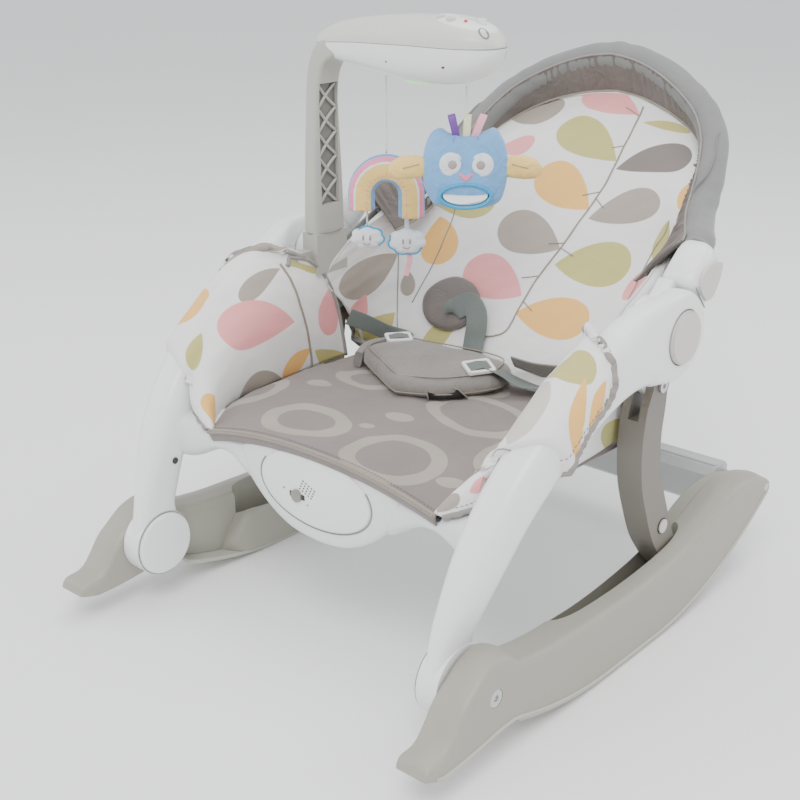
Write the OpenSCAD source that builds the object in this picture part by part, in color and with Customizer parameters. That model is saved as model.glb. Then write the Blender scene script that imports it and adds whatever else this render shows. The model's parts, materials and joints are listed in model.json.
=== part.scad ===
/* [Frame] */
// Overall width over the rocker rails
overall_w = 480; // [470:1:490]
// Width of one rocker rail
rail_w = 36; // [34:1:38]
// Height of the recline axis above the floor
hub_h = 312; // [310:1:314]
// Angle of the back tube above the floor at rest
back_angle = 40; // [36:1:42]
// Outside diameter of the back tube
tube_d = 22; // [18:1:24]
/* [Hardware] */
// Diameter of the front pivot bolts
bolt_d = 8; // [6:1:10]
// Diameter of the recline hinge pins
pin_d = 16; // [12:1:18]
// Diameter of the rear leg pivot pins
leg_pin_d = 8; // [6:1:10]
// Radial running clearance of the shafts
run_clr = 0.05; // [0.02:0.01:0.10]
/* [Shells] */
// Wall thickness of the moulded shells
wall = 3; // [2.5:0.1:3.5]
// Thickness of the runner soles
sole_t = 4; // [3:0.5:5]
/* [Toys] */
// Diameter of the toy cords
cord_d = 2; // [1.6:0.1:2.4]
// Thickness of the rainbow toy
rainbow_t = 24; // [20:1:28]
// Thickness of the owl toy
owl_t = 34; // [28:1:38]
/* [Hidden] */
$fn = 48;
ys = 9.87;              // moves the whole seat so that its box is centred on the origin
hx = overall_w/2;       // outer face of the rails
hub = [28, hub_h];      // recline axis (y, z)
fh = [-235, 66];        // front pivot axis (y, z)
lp = [39, hub_h-55];    // rear leg pivot (y, z)
f0 = -55; f1 = 25;      // flat part of the runners
rfr = 416; rbk = 329;   // radii of the runner ahead of and behind the flat
yaw = 41;               // toys turn this far on their cords
hookR = [-98, 14, 517]; // cord exits under the pod
hookO = [3, 14, 514];

// ---- helpers ----
module at() { translate([0, ys, 0]) children(); }
module side(s) { if (s > 0) children(); else mirror([1,0,0]) children(); }
module yz(x0, x1, pts) { translate([x0,0,0]) rotate([90,0,90]) linear_extrude(x1-x0) polygon(pts); }
module xcyl(x0, x1, y, z, r) { translate([x0,y,z]) rotate([0,90,0]) cylinder(r=r, h=x1-x0); }
module box2(a, b) { translate(a) cube([b[0]-a[0], b[1]-a[1], b[2]-a[2]]); }
// Catmull-Rom curve through p, n steps a span
function crp(a,b,c,d,t) = 0.5*((2*b)+(c-a)*t+(2*a-5*b+4*c-d)*t*t+(3*b-a-3*c+d)*t*t*t);
function cr(p, n) = let(m=len(p)) [for (i=[0:m-2]) for (k=[0:n-1])
   crp(p[max(i-1,0)], p[i], p[i+1], p[min(i+2,m-1)], k/n), p[m-1]];
function rev(p) = [for (i=[len(p)-1:-1:0]) p[i]];
function unit(v) = v/norm(v);
// solid through a list of equal rings
module loft(R) {
  n = len(R[0]); m = len(R);
  polyhedron(points=[for (r=R) for (p=r) p],
    faces=concat([for (i=[0:m-2]) for (j=[0:n-1]) for (t=[0,1])
        let(a=i*n+j, b=i*n+(j+1)%n, c=(i+1)*n+(j+1)%n, d=(i+1)*n+j) t==0 ? [a,c,b] : [a,d,c]],
      [[for (j=[0:n-1]) j]], [[for (j=[n-1:-1:0]) (m-1)*n+j]]), convexity=6);
}
// ring of a rounded rectangle: centre c, half axes u and v, corner share q
function rring(c, u, v, q) = [for (k=[[1,-1,1],[1,1,0],[-1,1,1],[-1,-1,0]]) for (e=[0,1])
   let(f = (k[2]==1) ? e : 1-e)
   c + u*k[0]*(f==0 ? 1-q : 1) + v*k[1]*(f==0 ? 1 : 1-q)];
function oct(c,u,v,q) = [c+u+v*(-(1-q)), c+u+v*(1-q), c+u*(1-q)+v, c-u*(1-q)+v, c-u+v*(1-q), c-u-v*(1-q), c-u*(1-q)-v, c+u*(1-q)-v];
function cring(c,u,v,n) = [for (j=[0:n-1]) c+u*cos(360*j/n)+v*sin(360*j/n)];
// tube along p
function tang(p,i) = unit(p[min(i+1,len(p)-1)]-p[max(i-1,0)]);
module sweep(p, r, n=10, up=[0,0,1]) {
  loft([for (i=[0:len(p)-1]) let(t=tang(p,i), u=unit(cross(t,up)), v=cross(t,u)) cring(p[i], u*r, v*r, n)]);
}
module coil(c, len, r, turns, w) {
  p = [for (i=[0:turns*12]) c + [len*i/(turns*12), r*cos(30*i), r*sin(30*i)]];
  loft([for (i=[0:len(p)-1]) let(t=tang(p,i), u=unit(p[i]-[p[i][0],c[1],c[2]]), v=cross(t,u)) cring(p[i], u*w, v*w, 6)]);
}
// ---- rockers ----
function runner(y) = y<f0 ? pow(y-f0,2)/(2*rfr) : y>f1 ? pow(y-f1,2)/(2*rbk) : 0;
run_pts = [for (y=[-200:15:-65]) [y, runner(y)], [f0,0],[f1,0], for (y=[40:15:250]) [y, runner(y)], [256,runner(256)]];
top_pts = cr([[-323,33],[-318,41],[-299,45],[-285,60],[-275,74],[-262,84],[-247,95],[-227,101],[-211,96],[-196,85],[-150,77],[-95,74],[-30,72],[25,74],[75,80],[123,93],[173,110],[210,109],[240,101],[257,90]],3);
toe_pts = [[-323,31],[-303,26],[-282,26],[-256,28],[-227,31],[-208,31]];
function up(p,d) = [for (q=p) [q[0], q[1]+d]];
module rail_outline() { polygon(concat(toe_pts, up(run_pts,sole_t), rev(top_pts))); }
function inset_top() = [for (q=top_pts) [q[0]*(q[0]<-290 ? 0.985 : q[0]>250 ? 0.985 : 1), q[1]-wall-0.6]];
pocket_in = cr([[-126,20],[-122,44],[-105,54],[-51,52],[7,54],[73,62],[110,78],[160,98],[210,101],[240,94],[256,88]],3);
module rocker(s) { color([0.64,0.63,0.58]) at() side(s) difference() {
  union() {
    translate([hx-rail_w,0,0]) rotate([90,0,90]) linear_extrude(rail_w) rail_outline();
    translate([185,0,0]) rotate([90,0,90]) linear_extrude(hx-rail_w-185+0.01) polygon(concat([for (p=run_pts) if (p[0]>-127) [p[0],p[1]+sole_t]], rev(pocket_in)));
  }
  // hollow front of the rail, open below
  yz(hx-rail_w+wall, hx-wall, concat([[-316,0]], [for (q=inset_top()) if (q[0]<-130) q], [[-130,0]]));
  // hollow outer wall beside the leg slot
  yz(224.5, hx-wall, concat([[-126,-5]], [for (q=inset_top()) if (q[0]>-126 && q[0]<120) q], [[118,-5]]));
  // hollow tail
  yz(188.5, hx-wall, concat([[122,-5]], [for (q=pocket_in) if (q[0]>122 && q[0]<250) [q[0],q[1]-wall-3]], [[252,-5]]));
  // slot for the rear leg
  yz(188.5, 221.5, concat([for (y=[-118:12:108]) [y, runner(y)+sole_t+4]], [[108,150],[-118,150]]));
  xcyl(hx-rail_w-1, hx+1, fh[0], fh[1], bolt_d/2+0.02);
  xcyl(hx-3.2, hx+1, fh[0], fh[1], 8.2);
  xcyl(180, hx+1, 247, 86, 2.6);
  xcyl(hx-2.6, hx+1, 247, 86, 5.2);
}}
module rocker_right() { rocker(1); }
module rocker_left() { rocker(-1); }
module sole(s) { color([0.52,0.51,0.47]) at() side(s)
  yz(187, hx-1, concat(run_pts, rev(up(run_pts,sole_t)))); }
module rocker_sole_right() { sole(1); }
module rocker_sole_left() { sole(-1); }
module rear_crossbar() { color([0.80,0.82,0.83]) at() difference() {
  yz(-185, 185, [[228,56],[236,50],[258,54],[264,62],[262,92],[256,98],[236,96],[228,88]]);
  yz(-182, 182, [[231,57],[237,53.5],[256,57],[261,63],[259,90],[254,94.6],[238,93],[231,87]]);
  for (s=[-1,1]) side(s) xcyl(180,187,247,86,2.6);
}}
module crossbar_screws() { color([0.6,0.6,0.6]) at() for (s=[-1,1]) side(s) {
  xcyl(184, hx-2.6, 247, 86, 2.5); xcyl(hx-2.6, hx-0.2, 247, 86, 5); } }
module hub_pivot_bolts() { color([0.6,0.6,0.6]) at() for (s=[-1,1]) side(s) {
  xcyl(183, hx-3.2, fh[0], fh[1], bolt_d/2);
  difference() { xcyl(hx-3.2, hx-0.4, fh[0], fh[1], 8); xcyl(hx-2, hx, fh[0], fh[1], 3); }
  difference() { xcyl(180.4, 183, fh[0], fh[1], 6.8); xcyl(180, 182, fh[0], fh[1], 3); } } }
// ---- side frames: leg and arm in one sweep ----
// y, z, x, thickness, width
arm_st = cr([[-235,66,191.7,22,40],[-237,92,191,20.6,45],[-230,124,193.5,26.5,46],[-213,166,201,38,47],[-189,205,206,41,48],[-156,240,211,42,50],[-116,268,215,42,50],[-70,292,217,41,49],[-28,307,217,40,48],[0,312,217,38,46]],3);
module side_frame(s) { color([0.95,0.95,0.95]) at() side(s) difference() {
  loft([for (i=[0:len(arm_st)-1]) let(a=arm_st[i], b=arm_st[max(i-1,0)], c=arm_st[min(i+1,len(arm_st)-1)],
     t=unit([0,c[0]-b[0],c[1]-b[1]]), n=[0,t[2],-t[1]])
     oct([a[2],a[0],a[1]], [a[3]/2,0,0], n*a[4]/2, 0.34)]);
  xcyl(170, 215, fh[0], fh[1], 34.3);
  xcyl(219, 260, hub[0], hub[1], 42.2);
  xcyl(190, 219.2, hub[0], hub[1], 33);
} }
module side_frame_right() { side_frame(1); }
module side_frame_left() { side_frame(-1); }
module front_hub(s) { color([0.95,0.95,0.95]) at() side(s) difference() {
  union() { xcyl(181.5, 203.3, fh[0], fh[1], 34); xcyl(180, 181.6, fh[0], fh[1], 32.5); }
  xcyl(170, 210, fh[0], fh[1], bolt_d/2+run_clr);
  xcyl(170, 183.1, fh[0], fh[1], 7.2);
} }
module front_hub_right() { front_hub(1); }
module front_hub_left() { front_hub(-1); }
module main_hub(s) { color([0.96,0.96,0.96]) at() side(s) difference() {
  union() { xcyl(219, 241.5, hub[0], hub[1], 42); xcyl(241.4, 243, hub[0], hub[1], 40.5); }
  xcyl(233, 250, hub[0], hub[1], 25.2);
  xcyl(210, 240, hub[0], hub[1], pin_d/2);
} }
module main_hub_right() { main_hub(1); }
module main_hub_left() { main_hub(-1); }
module recline_pins() { color([0.6,0.6,0.6]) at() for (s=[-1,1]) side(s) xcyl(200.3, 232.6, hub[0], hub[1], pin_d/2); }
module leg_brackets() { color([0.93,0.94,0.95]) at() for (s=[-1,1]) side(s) difference() {
  union() { xcyl(200, 210, lp[0], lp[1], 12);
    yz(200, 210, [[lp[0]-8,lp[1]-9],[lp[0]+3,lp[1]+11.4],[10,278],[-6,287.5],[-30,281],[-26,272],[-6,266],[lp[0]-22,lp[1]+2]]); }
  xcyl(190, 220, lp[0], lp[1], leg_pin_d/2);
} }
module leg_pins() { color([0.6,0.6,0.6]) at() for (s=[-1,1]) side(s) { xcyl(190, 218.9, lp[0], lp[1], leg_pin_d/2);
  difference() { xcyl(218.8, 221.4, lp[0], lp[1], 6.5); xcyl(220.2, 222, lp[0], lp[1], 2.5); } xcyl(188.4, 191.2, lp[0], lp[1], 6.5); } }
// ---- rear legs ----
leg_c = cr([[39,lp[1]],[32,229],[29,200],[33,165],[46,130],[60,100],[74,77],[85,60]],4);
leg_w = [for (i=[0:len(leg_c)-1]) let(t=i/(len(leg_c)-1)) t<0.12 ? 12+5*t/0.12 : t<0.7 ? 17 : 17-6*(t-0.7)/0.3];
function offs(s) = [for (i=[0:len(leg_c)-1]) let(d=unit(leg_c[min(i+1,len(leg_c)-1)]-leg_c[max(i-1,0)])) leg_c[i]+s*leg_w[i]*[-d[1],d[0]]];
module rear_leg(s) { color([0.60,0.57,0.53]) at() side(s) difference() {
  union() { yz(191.5, 218.5, concat(offs(1), rev(offs(-1)))); xcyl(191.5, 218.5, lp[0], lp[1], 14); xcyl(191.5, 218.5, 84.5, 60.4, 12); }
  difference() { yz(199.5, 210.5, [[lp[0]-30,lp[1]-31],[lp[0]+30,lp[1]-31],[lp[0]+30,lp[1]+20],[lp[0]-30,lp[1]+20]]); }
  xcyl(190, 220, lp[0], lp[1], leg_pin_d/2+run_clr);
  xcyl(198, 220, 61, 104, 7.15);
} }
module rear_leg_right() { rear_leg(1); }
module rear_leg_left() { rear_leg(-1); }
module leg_button(s) { color([0.82,0.80,0.76]) at() side(s) difference() { xcyl(203, 220.6, 61, 104, 7); xcyl(202, 211.8, 61, 104, 5.8); } }
module leg_button_right() { leg_button(1); }
module leg_button_left() { leg_button(-1); }
module recline_button(s) { color([0.82,0.81,0.78]) at() side(s) difference() {
  union() { xcyl(238, 245.6, hub[0], hub[1], 24.8); xcyl(245.5, 247, hub[0], hub[1], 23.4); }
  xcyl(237, 243.5, hub[0], hub[1], 21); } }
module recline_button_right() { recline_button(1); }
module recline_button_left() { recline_button(-1); }
module button_springs() { color([0.7,0.7,0.7]) at() for (s=[-1,1]) side(s) coil([233.9, hub[0], hub[1]], 4.6, 12, 2, 0.8); }
// ---- seat frame and vibration unit ----
module seat_frame() { color([0.93,0.94,0.94]) at() difference() {
  union() {
    yz(-180, 180, [[-190,163],[-190,178],[-184,183],[-150,183],[-150,178],[20,178],[20,183],[30,183],[30,174],[-162,174],[-170,160],[-184,158]]);
    for (s=[-1,1]) side(s) yz(146, 156, [[-160,174],[30,174],[30,192],[-160,192]]);
  }
  yz(-172, 172, [[-187,166],[-186,176],[-180,179.5],[-166,179.5],[-166,172],[-173,163.5],[-183,162]]);
  for (x=[-100,-50,50,100]) translate([x,-60,170]) cylinder(r=14,h=20);
} }
hs = [[84,144],[68,131],[50,121],[30,115],[0,113]];
hs_top = [[98,157.6],[103,170],[118,179],[131,184],[118,188],[90,192.5],[60,196.5],[25,199.4]];
function mx(p) = [for (q=p) [-q[0], q[1]]];
module front_housing() { color([0.94,0.95,0.95]) at() difference() {
  union() {
    translate([0,-100,0]) rotate([90,0,0]) linear_extrude(98) polygon(concat([[-98,157.6],[98,157.6]], hs, rev([for (i=[0:3]) [-hs[i][0],hs[i][1]]])));
    translate([0,-191,0]) rotate([90,0,0]) linear_extrude(7) polygon(concat(rev(hs_top), hs, rev([for (i=[0:3]) [-hs[i][0],hs[i][1]]]), mx(hs_top)));
  }
  translate([0,-103,0]) rotate([90,0,0]) linear_extrude(91) polygon(concat([[-91,154.6],[91,154.6]], [for (q=hs) [q[0]*0.95,q[1]+3]], rev([for (i=[0:3]) [-hs[i][0]*0.95,hs[i][1]+3]])));
  box2([-60.4,-200,139.6],[60.4,-190,188.4]);
  box2([-31,-165,100],[31,-112,118]);
} }
module face_panel() { color([0.96,0.97,0.96]) at() difference() {
  union() {
    translate([0,-198,0]) rotate([90,0,0]) linear_extrude(2.4) polygon([for (i=[0:47]) [70*cos(7.5*i), min(167+37*sin(7.5*i), 196-0.0009*pow(70*cos(7.5*i),2))]]);
    box2([-60,-198.2,140],[60,-194.2,188]);
  }
  box2([-29,-210,154.8],[-9,-190,161.2]);
  for (i=[0:3]) for (j=[0:2]) translate([-18+i*5+j*1.5,-190,168+j*3-i*0.4]) rotate([90,0,0]) cylinder(r=0.8,h=20,$fn=16);
} }
module switch_knob() { color([0.55,0.54,0.50]) at() {
  translate([-19,-200.6,158]) rotate([90,0,0]) cylinder(r=6.2,h=5);
  box2([-21.5,-201,155.1],[-16.5,-191.4,160.9]);
} }
module circuit_board() { color([0.15,0.4,0.2]) at() { box2([-40,-190,127],[36,-188.4,150]); for (x=[-34,-20,-2,14]) box2([x,-188.4,130],[x+8,-184.4,138]); } }
module battery_box() { color([0.2,0.2,0.2]) at() difference() { box2([-32,-163,121],[32,-131,151]); box2([-29,-160,110],[29,-134,148.4]); } }
module battery() { color([0.75,0.6,0.25]) at() { xcyl(-25,25,-147,134.4,12.8); xcyl(24.9,26.5,-147,134.4,3.2); } }
module battery_door() { color([0.9,0.9,0.9]) at() difference() { box2([-30.6,-164.6,113.2],[30.6,-112.4,116]); translate([0,-120,110]) cylinder(r=1.8,h=10); } }
module vibration_motor() { color([0.7,0.7,0.72]) at() { xcyl(34.5,54,-147,142,9); xcyl(53.9,64,-147,142,1.2); } }
module eccentric_weight() { color([0.5,0.45,0.35]) at() difference() {
  xcyl(56,63,-147,142,8); xcyl(55,64.5,-147,142,1.25); box2([55,-160,143.5],[65,-134,154]); } }
// ---- soft seat ----
module seat_pad() { color([0.68,0.64,0.63]) at() intersection() {
  yz(-144, 144, [[-190.2,183.6],[-190.2,200],[-201,200],[-202,205],[-192,209],[-160,207],[-120,202],[-20,198],[36,200],[40,192],[36,183.6]]);
  translate([0,0,150]) linear_extrude(80) polygon([[-128,-194],[-90,-203],[90,-203],[128,-194],[144,-150],[144,45],[-144,45],[-144,-150]]); } }
module arm_cover(s) { color([0.94,0.93,0.92]) at() side(s)
  loft([for (q=[[-192,196,228,150],[-160,196,262,150],[-120,196,291,152],[-80,196,310,154],[-42,196,326,156]])
   let(xo = 196-(-q[0]-14)*0.09, zt=q[2]+9)
   rev([[q[3]+7,q[0],194.5],[xo-6,q[0],194.5],[xo-3,q[0],zt-34],[xo-3,q[0],zt],[xo-20,q[0],zt],[q[3]+8,q[0],zt-46],[q[3]+1,q[0],222]])]); }
module arm_cover_right() { arm_cover(1); }
module arm_cover_left() { arm_cover(-1); }
module harness() { color([0.60,0.57,0.55]) at() {
  intersection() { yz(-62, 62, [[-72,203.5],[-66,228],[-40,240],[0,236],[30,222],[34,203.5]]);
    translate([0,0,190]) linear_extrude(60) polygon([[-30,-72],[30,-72],[40,-40],[60,-10],[60,34],[-60,34],[-60,-10],[-40,-40]]); }
  for (s=[-1,1]) side(s) box2([64,0,203.5],[142,34,208]);
} }
// ---- toy arm socket ----
px0 = -187; py0 = 14;
module toy_socket() { color([0.80,0.80,0.77]) at() difference() {
  union() { box2([-196.6,-10,300],[-175,36,344]); box2([-195.4,-34,296],[-183,-9.9,326]); }
  translate([px0,py0,308]) cylinder(r=8.05, h=60);
} }
// ---- backrest ----
bd = [cos(back_angle), sin(back_angle)];
bn = [-sin(back_angle), cos(back_angle)];
function bp(x,s,h=0) = [x, hub[0]+s*bd[0]+h*bn[0], hub[1]+s*bd[1]+h*bn[1]];
module back_at() { translate([0,hub[0],hub[1]]) rotate([back_angle,0,0]) children(); } // local +Y up the back
arch = cr([[210,92,0],[205,106,-6],[195,121,-18],[183,138,-30],[171,160,-39],[162,190,-43],[154,222,-41],[143,252,-37],[124,278,-30],[95,299,-22],[62,316,-16],[30,326,-12],[0,330,-10]],3);
arch_l = concat([for (p=arch) p], [for (i=[len(arch)-2:-1:0]) [-arch[i][0], arch[i][1], arch[i][2]]]);
function part_of(k) = [for (i=[k:len(arch_l)-1-k]) arch_l[i]];
module back_tube() { color([0.93,0.93,0.93]) at()
  sweep(concat([bp(210,74)], [for (p=arch_l) bp(p[0],p[1],p[2])], [bp(-210,74)]), tube_d/2, 16, [0,bn[0],bn[1]]); }
module back_neck(s) { color([0.95,0.95,0.95]) at() side(s) back_at() difference() {
  union() {
    rotate([0,90,0]) translate([0,0,200]) cylinder(r=31,h=18.5);
    translate([200,0,0]) cube([18.5,60,20]); translate([200,0,-20]) cube([18.5,60,20.1]);
    translate([200,46.5,-21]) cube([36,45,42]);
  }
  rotate([0,90,0]) translate([0,0,190]) cylinder(r=pin_d/2+run_clr,h=40);
  translate([210,74,0]) rotate([-90,0,0]) cylinder(d=tube_d, h=40);
} }
module back_neck_right() { back_neck(1); }
module back_neck_left() { back_neck(-1); }
module neck_caps() { color([0.82,0.81,0.77]) at() for (s=[-1,1]) side(s) back_at()
  translate([236,0,0]) rotate([90,0,90]) linear_extrude(4) polygon(cr([[48,-10],[47,8],[56,16],[70,14],[84,2],[86,-4],[76,-12],[58,-16],[48,-10]],4)); }
bpa = atan2(318,240);
module back_pad() { color([0.94,0.93,0.92]) at() translate([0,45,205]) rotate([bpa,0,0])
  translate([0,0,-9]) linear_extrude(18) polygon([[-146,14],[146,14],[144,120],[128,185],[106,245],[96,285],[68,312],[36,330],[0,337],[-36,330],[-68,312],[-96,285],[-106,245],[-128,185],[-144,120]]); }
function cee(c,u,v) = concat([for (j=[0:10]) let(a=8+34.4*j) c+(u*cos(a)+v*sin(a))*14.8], [for (j=[10:-1:0]) let(a=8+34.4*j) c+(u*cos(a)+v*sin(a))*12.2]);
module tube_sleeve() { color([0.62,0.64,0.65]) at() {
  p = [for (q=part_of(4)) bp(q[0],q[1],q[2])];
  loft([for (i=[0:len(p)-1]) let(t=tang(p,i), n=[0,bn[0],bn[1]], u=unit(cross(t,n)), v=cross(t,u)) cee(p[i], -v, u)]);
} }
rim_l = part_of(15);
function arin(d,h) = [for (i=[0:len(rim_l)-1]) let(t=unit(rim_l[min(i+1,len(rim_l)-1)]-rim_l[max(i-1,0)]), u=unit([-t[1],t[0]]), q=rim_l[i]) bp(q[0]+d*u[0], q[1]+d*u[1], q[2]+h)];
module ruched_rim() { color([0.58,0.54,0.52]) at() {
  A=arin(17,4); B=arin(46,2); C=arin(46,-8); D=arin(17,-6);
  loft([for (i=[0:len(A)-1]) [A[i],D[i],C[i],B[i]]]);
} }
// ---- toy arm ----
module toy_post() { color([0.80,0.80,0.77]) at() {
  translate([px0,py0,310]) cylinder(r=8, h=36);
  difference() {
    loft([for (q=[[344.4,0,10,23],[352,0,10,22.5],[400,0,9.5,21],[450,0,9,17.5],[490,1,9,15],[512,5,10,15],[525,9,11,15]]) let(c=[px0+q[1],py0,q[0]]) oct(c,[q[2],0,q[0]>500?-(q[0]-500)*0.25:0],[0,q[3],0],0.35)]);
    box2([px0+3,py0-11,372],[px0+20,py0+11,492]);
  }
} }
module post_lattice() { color([0.60,0.58,0.54]) at() {
  difference() { box2([px0+3,py0-10.8,372.3],[px0+5,py0+10.8,491.7]); }
  for (i=[0:4]) translate([px0+5,py0,384+i*24]) rotate([0,90,0]) difference() { cylinder(r=10,h=2.4); translate([0,0,-1]) cylinder(r=7.6,h=5); }
} }
// pod rings: x, half width, seam z, top z, bottom z
pod = [[-176,15,541,552,530],[-160,18,543,560,526],[-135,23,545,566,522],[-105,29,547,570,518],[-75,33,548,573,514],[-40,36,549,575,512],[-5,35,549,574,514],[20,29,549,569,522],[34,20,549,562,532],[40,8,549,556,542]];
function pu(q,k) = [for (j=[0:10]) let(a=18*j) [q[0], py0+(q[1]-k)*cos(a), q[2]+(q[3]-k-q[2])*pow(abs(sin(a)),0.8)]];
function pl(q,k) = [for (j=[0:10]) let(a=18*j) [q[0], py0-(q[1]-k)*cos(a), q[2]-(q[2]-q[4]-k)*pow(abs(sin(a)),0.8)]];
module pod_upper() { color([0.82,0.82,0.79]) at() difference() {
  loft([for (q=pod) pu(q,0)]);
  loft([for (i=[1:8]) pu(pod[i],3)]);
  translate([8,py0,560]) cylinder(r=23,h=30);
  translate([8,py0,540]) cylinder(r=17,h=30);
} }
module pod_lower() { color([0.95,0.96,0.96]) at() difference() {
  union() { loft([for (q=pod) pl(q,0)]); for (h=[hookR,hookO]) translate([h[0],h[1],h[2]]) { cylinder(r=3.6,h=6); rotate([0,0,yaw]) rotate([0,90,0]) cylinder(r=1.3,h=9,center=true); } }
  loft([for (i=[1:8]) pl(pod[i],3)]);
  translate([-46,py0,500]) cylinder(r=15.1,h=30);
} }
module lamp_lens() { color([0.75,0.92,0.78,0.7]) at() translate([-46,py0,511.5]) cylinder(r=15,h=4); }
module pod_board() { color([0.15,0.4,0.2]) at() { box2([-80,py0-12,549.6],[20,py0+12,551.2]); translate([-46,py0,551.2]) cylinder(r=11,h=6); box2([-76,py0-8,551.2],[-64,py0+8,555]); } }
module pbut(x,y,r) { color([0.9,0.9,0.9]) at() { translate([x,y,566.3]) cylinder(r=r,h=8.2); } }
module pod_button_a() { pbut(-1,py0,4.2); }
module pod_button_b() { pbut(9,py0,4.2); }
module pod_button_c() { pbut(19,py0,4.2); }
// ---- toys: built in their own plane, then turned on the cord ----
module hang(h) { translate([h[0],h[1],0]) rotate([0,0,yaw]) children(); }
module plate(t, pts) { translate([0,t/2,0]) rotate([90,0,0]) linear_extrude(t) polygon(pts); }
module rainbow_toy() { color([0.55,0.7,0.86]) at() hang(hookR) plate(rainbow_t,
  concat([for (i=[0:20]) [39*cos(9*i), 397+39*sin(9*i)*1.02]], [[-39,380],[-14,382]], [for (i=[20:-1:0]) [12*cos(9*i), 393+12*sin(9*i)]], [[14,376],[39,370]])); }
module rainbow_cord() { color([0.9,0.9,0.9]) at() sweep([for (z=[hookR[2]-1.6:-20:440]) [hookR[0],hookR[1],z], [hookR[0],hookR[1],436.9]], cord_d/2, 8, [0,1,0]); }
module cloud_charms() { color([0.95,0.96,0.97]) at() hang(hookR) {
  for (c=[[-20,350,16.5],[21,346,18.5]]) translate([c[0],0,c[1]]) {
    plate(14, [for (i=[0:35]) let(k=1+0.07*cos(50*i)) [c[2]*k*cos(10*i), 11.5*k*sin(10*i)]]); }
  translate([-20,0,361]) cylinder(r=1,h=18.9); translate([21,0,357]) cylinder(r=1,h=18.0);
} }
module owl_toy() { color([0.55,0.75,0.92]) at() hang(hookO) {
  plate(owl_t, cr([[-30,400],[-39,416],[-40,440],[-36,462],[-26,475],[-12,468],[0,467],[12,468],[26,475],[36,462],[40,440],[38,416],[28,400],[0,396],[-30,400]],4));
  for (s=[-1,1]) plate(14, [[s*39,446],[s*60,448],[s*70,440],[s*70,430],[s*58,424],[s*39,424]]);
} }
module owl_mirror() { color([0.3,0.75,0.9]) at() hang(hookO) translate([0,-owl_t/2-0.2,0]) rotate([90,0,0]) linear_extrude(3) polygon([for (i=[0:31]) [25*cos(11.25*i), 409+11.5*sin(11.25*i)]]); }
module owl_cord() { color([0.9,0.9,0.9]) at() sweep([for (z=[hookO[2]-1.6:-12:480]) [hookO[0],hookO[1],z], [hookO[0],hookO[1],467.1]], cord_d/2, 8, [0,1,0]); }

rocker_right();
rocker_left();
rocker_sole_right();
rocker_sole_left();
rear_crossbar();
crossbar_screws();
hub_pivot_bolts();
side_frame_right();
side_frame_left();
front_hub_right();
front_hub_left();
main_hub_right();
main_hub_left();
recline_pins();
leg_brackets();
leg_pins();
seat_frame();
front_housing();
face_panel();
vibration_motor();
eccentric_weight();
battery_box();
battery();
battery_door();
circuit_board();
switch_knob();
seat_pad();
arm_cover_right();
arm_cover_left();
harness();
toy_socket();
back_tube();
back_neck_right();
back_neck_left();
neck_caps();
back_pad();
tube_sleeve();
ruched_rim();
recline_button_right();
recline_button_left();
button_springs();
rear_leg_right();
rear_leg_left();
leg_button_right();
leg_button_left();
toy_post();
post_lattice();
pod_upper();
pod_lower();
lamp_lens();
pod_board();
pod_button_a();
pod_button_b();
pod_button_c();
rainbow_toy();
rainbow_cord();
cloud_charms();
owl_toy();
owl_mirror();
owl_cord();
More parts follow.
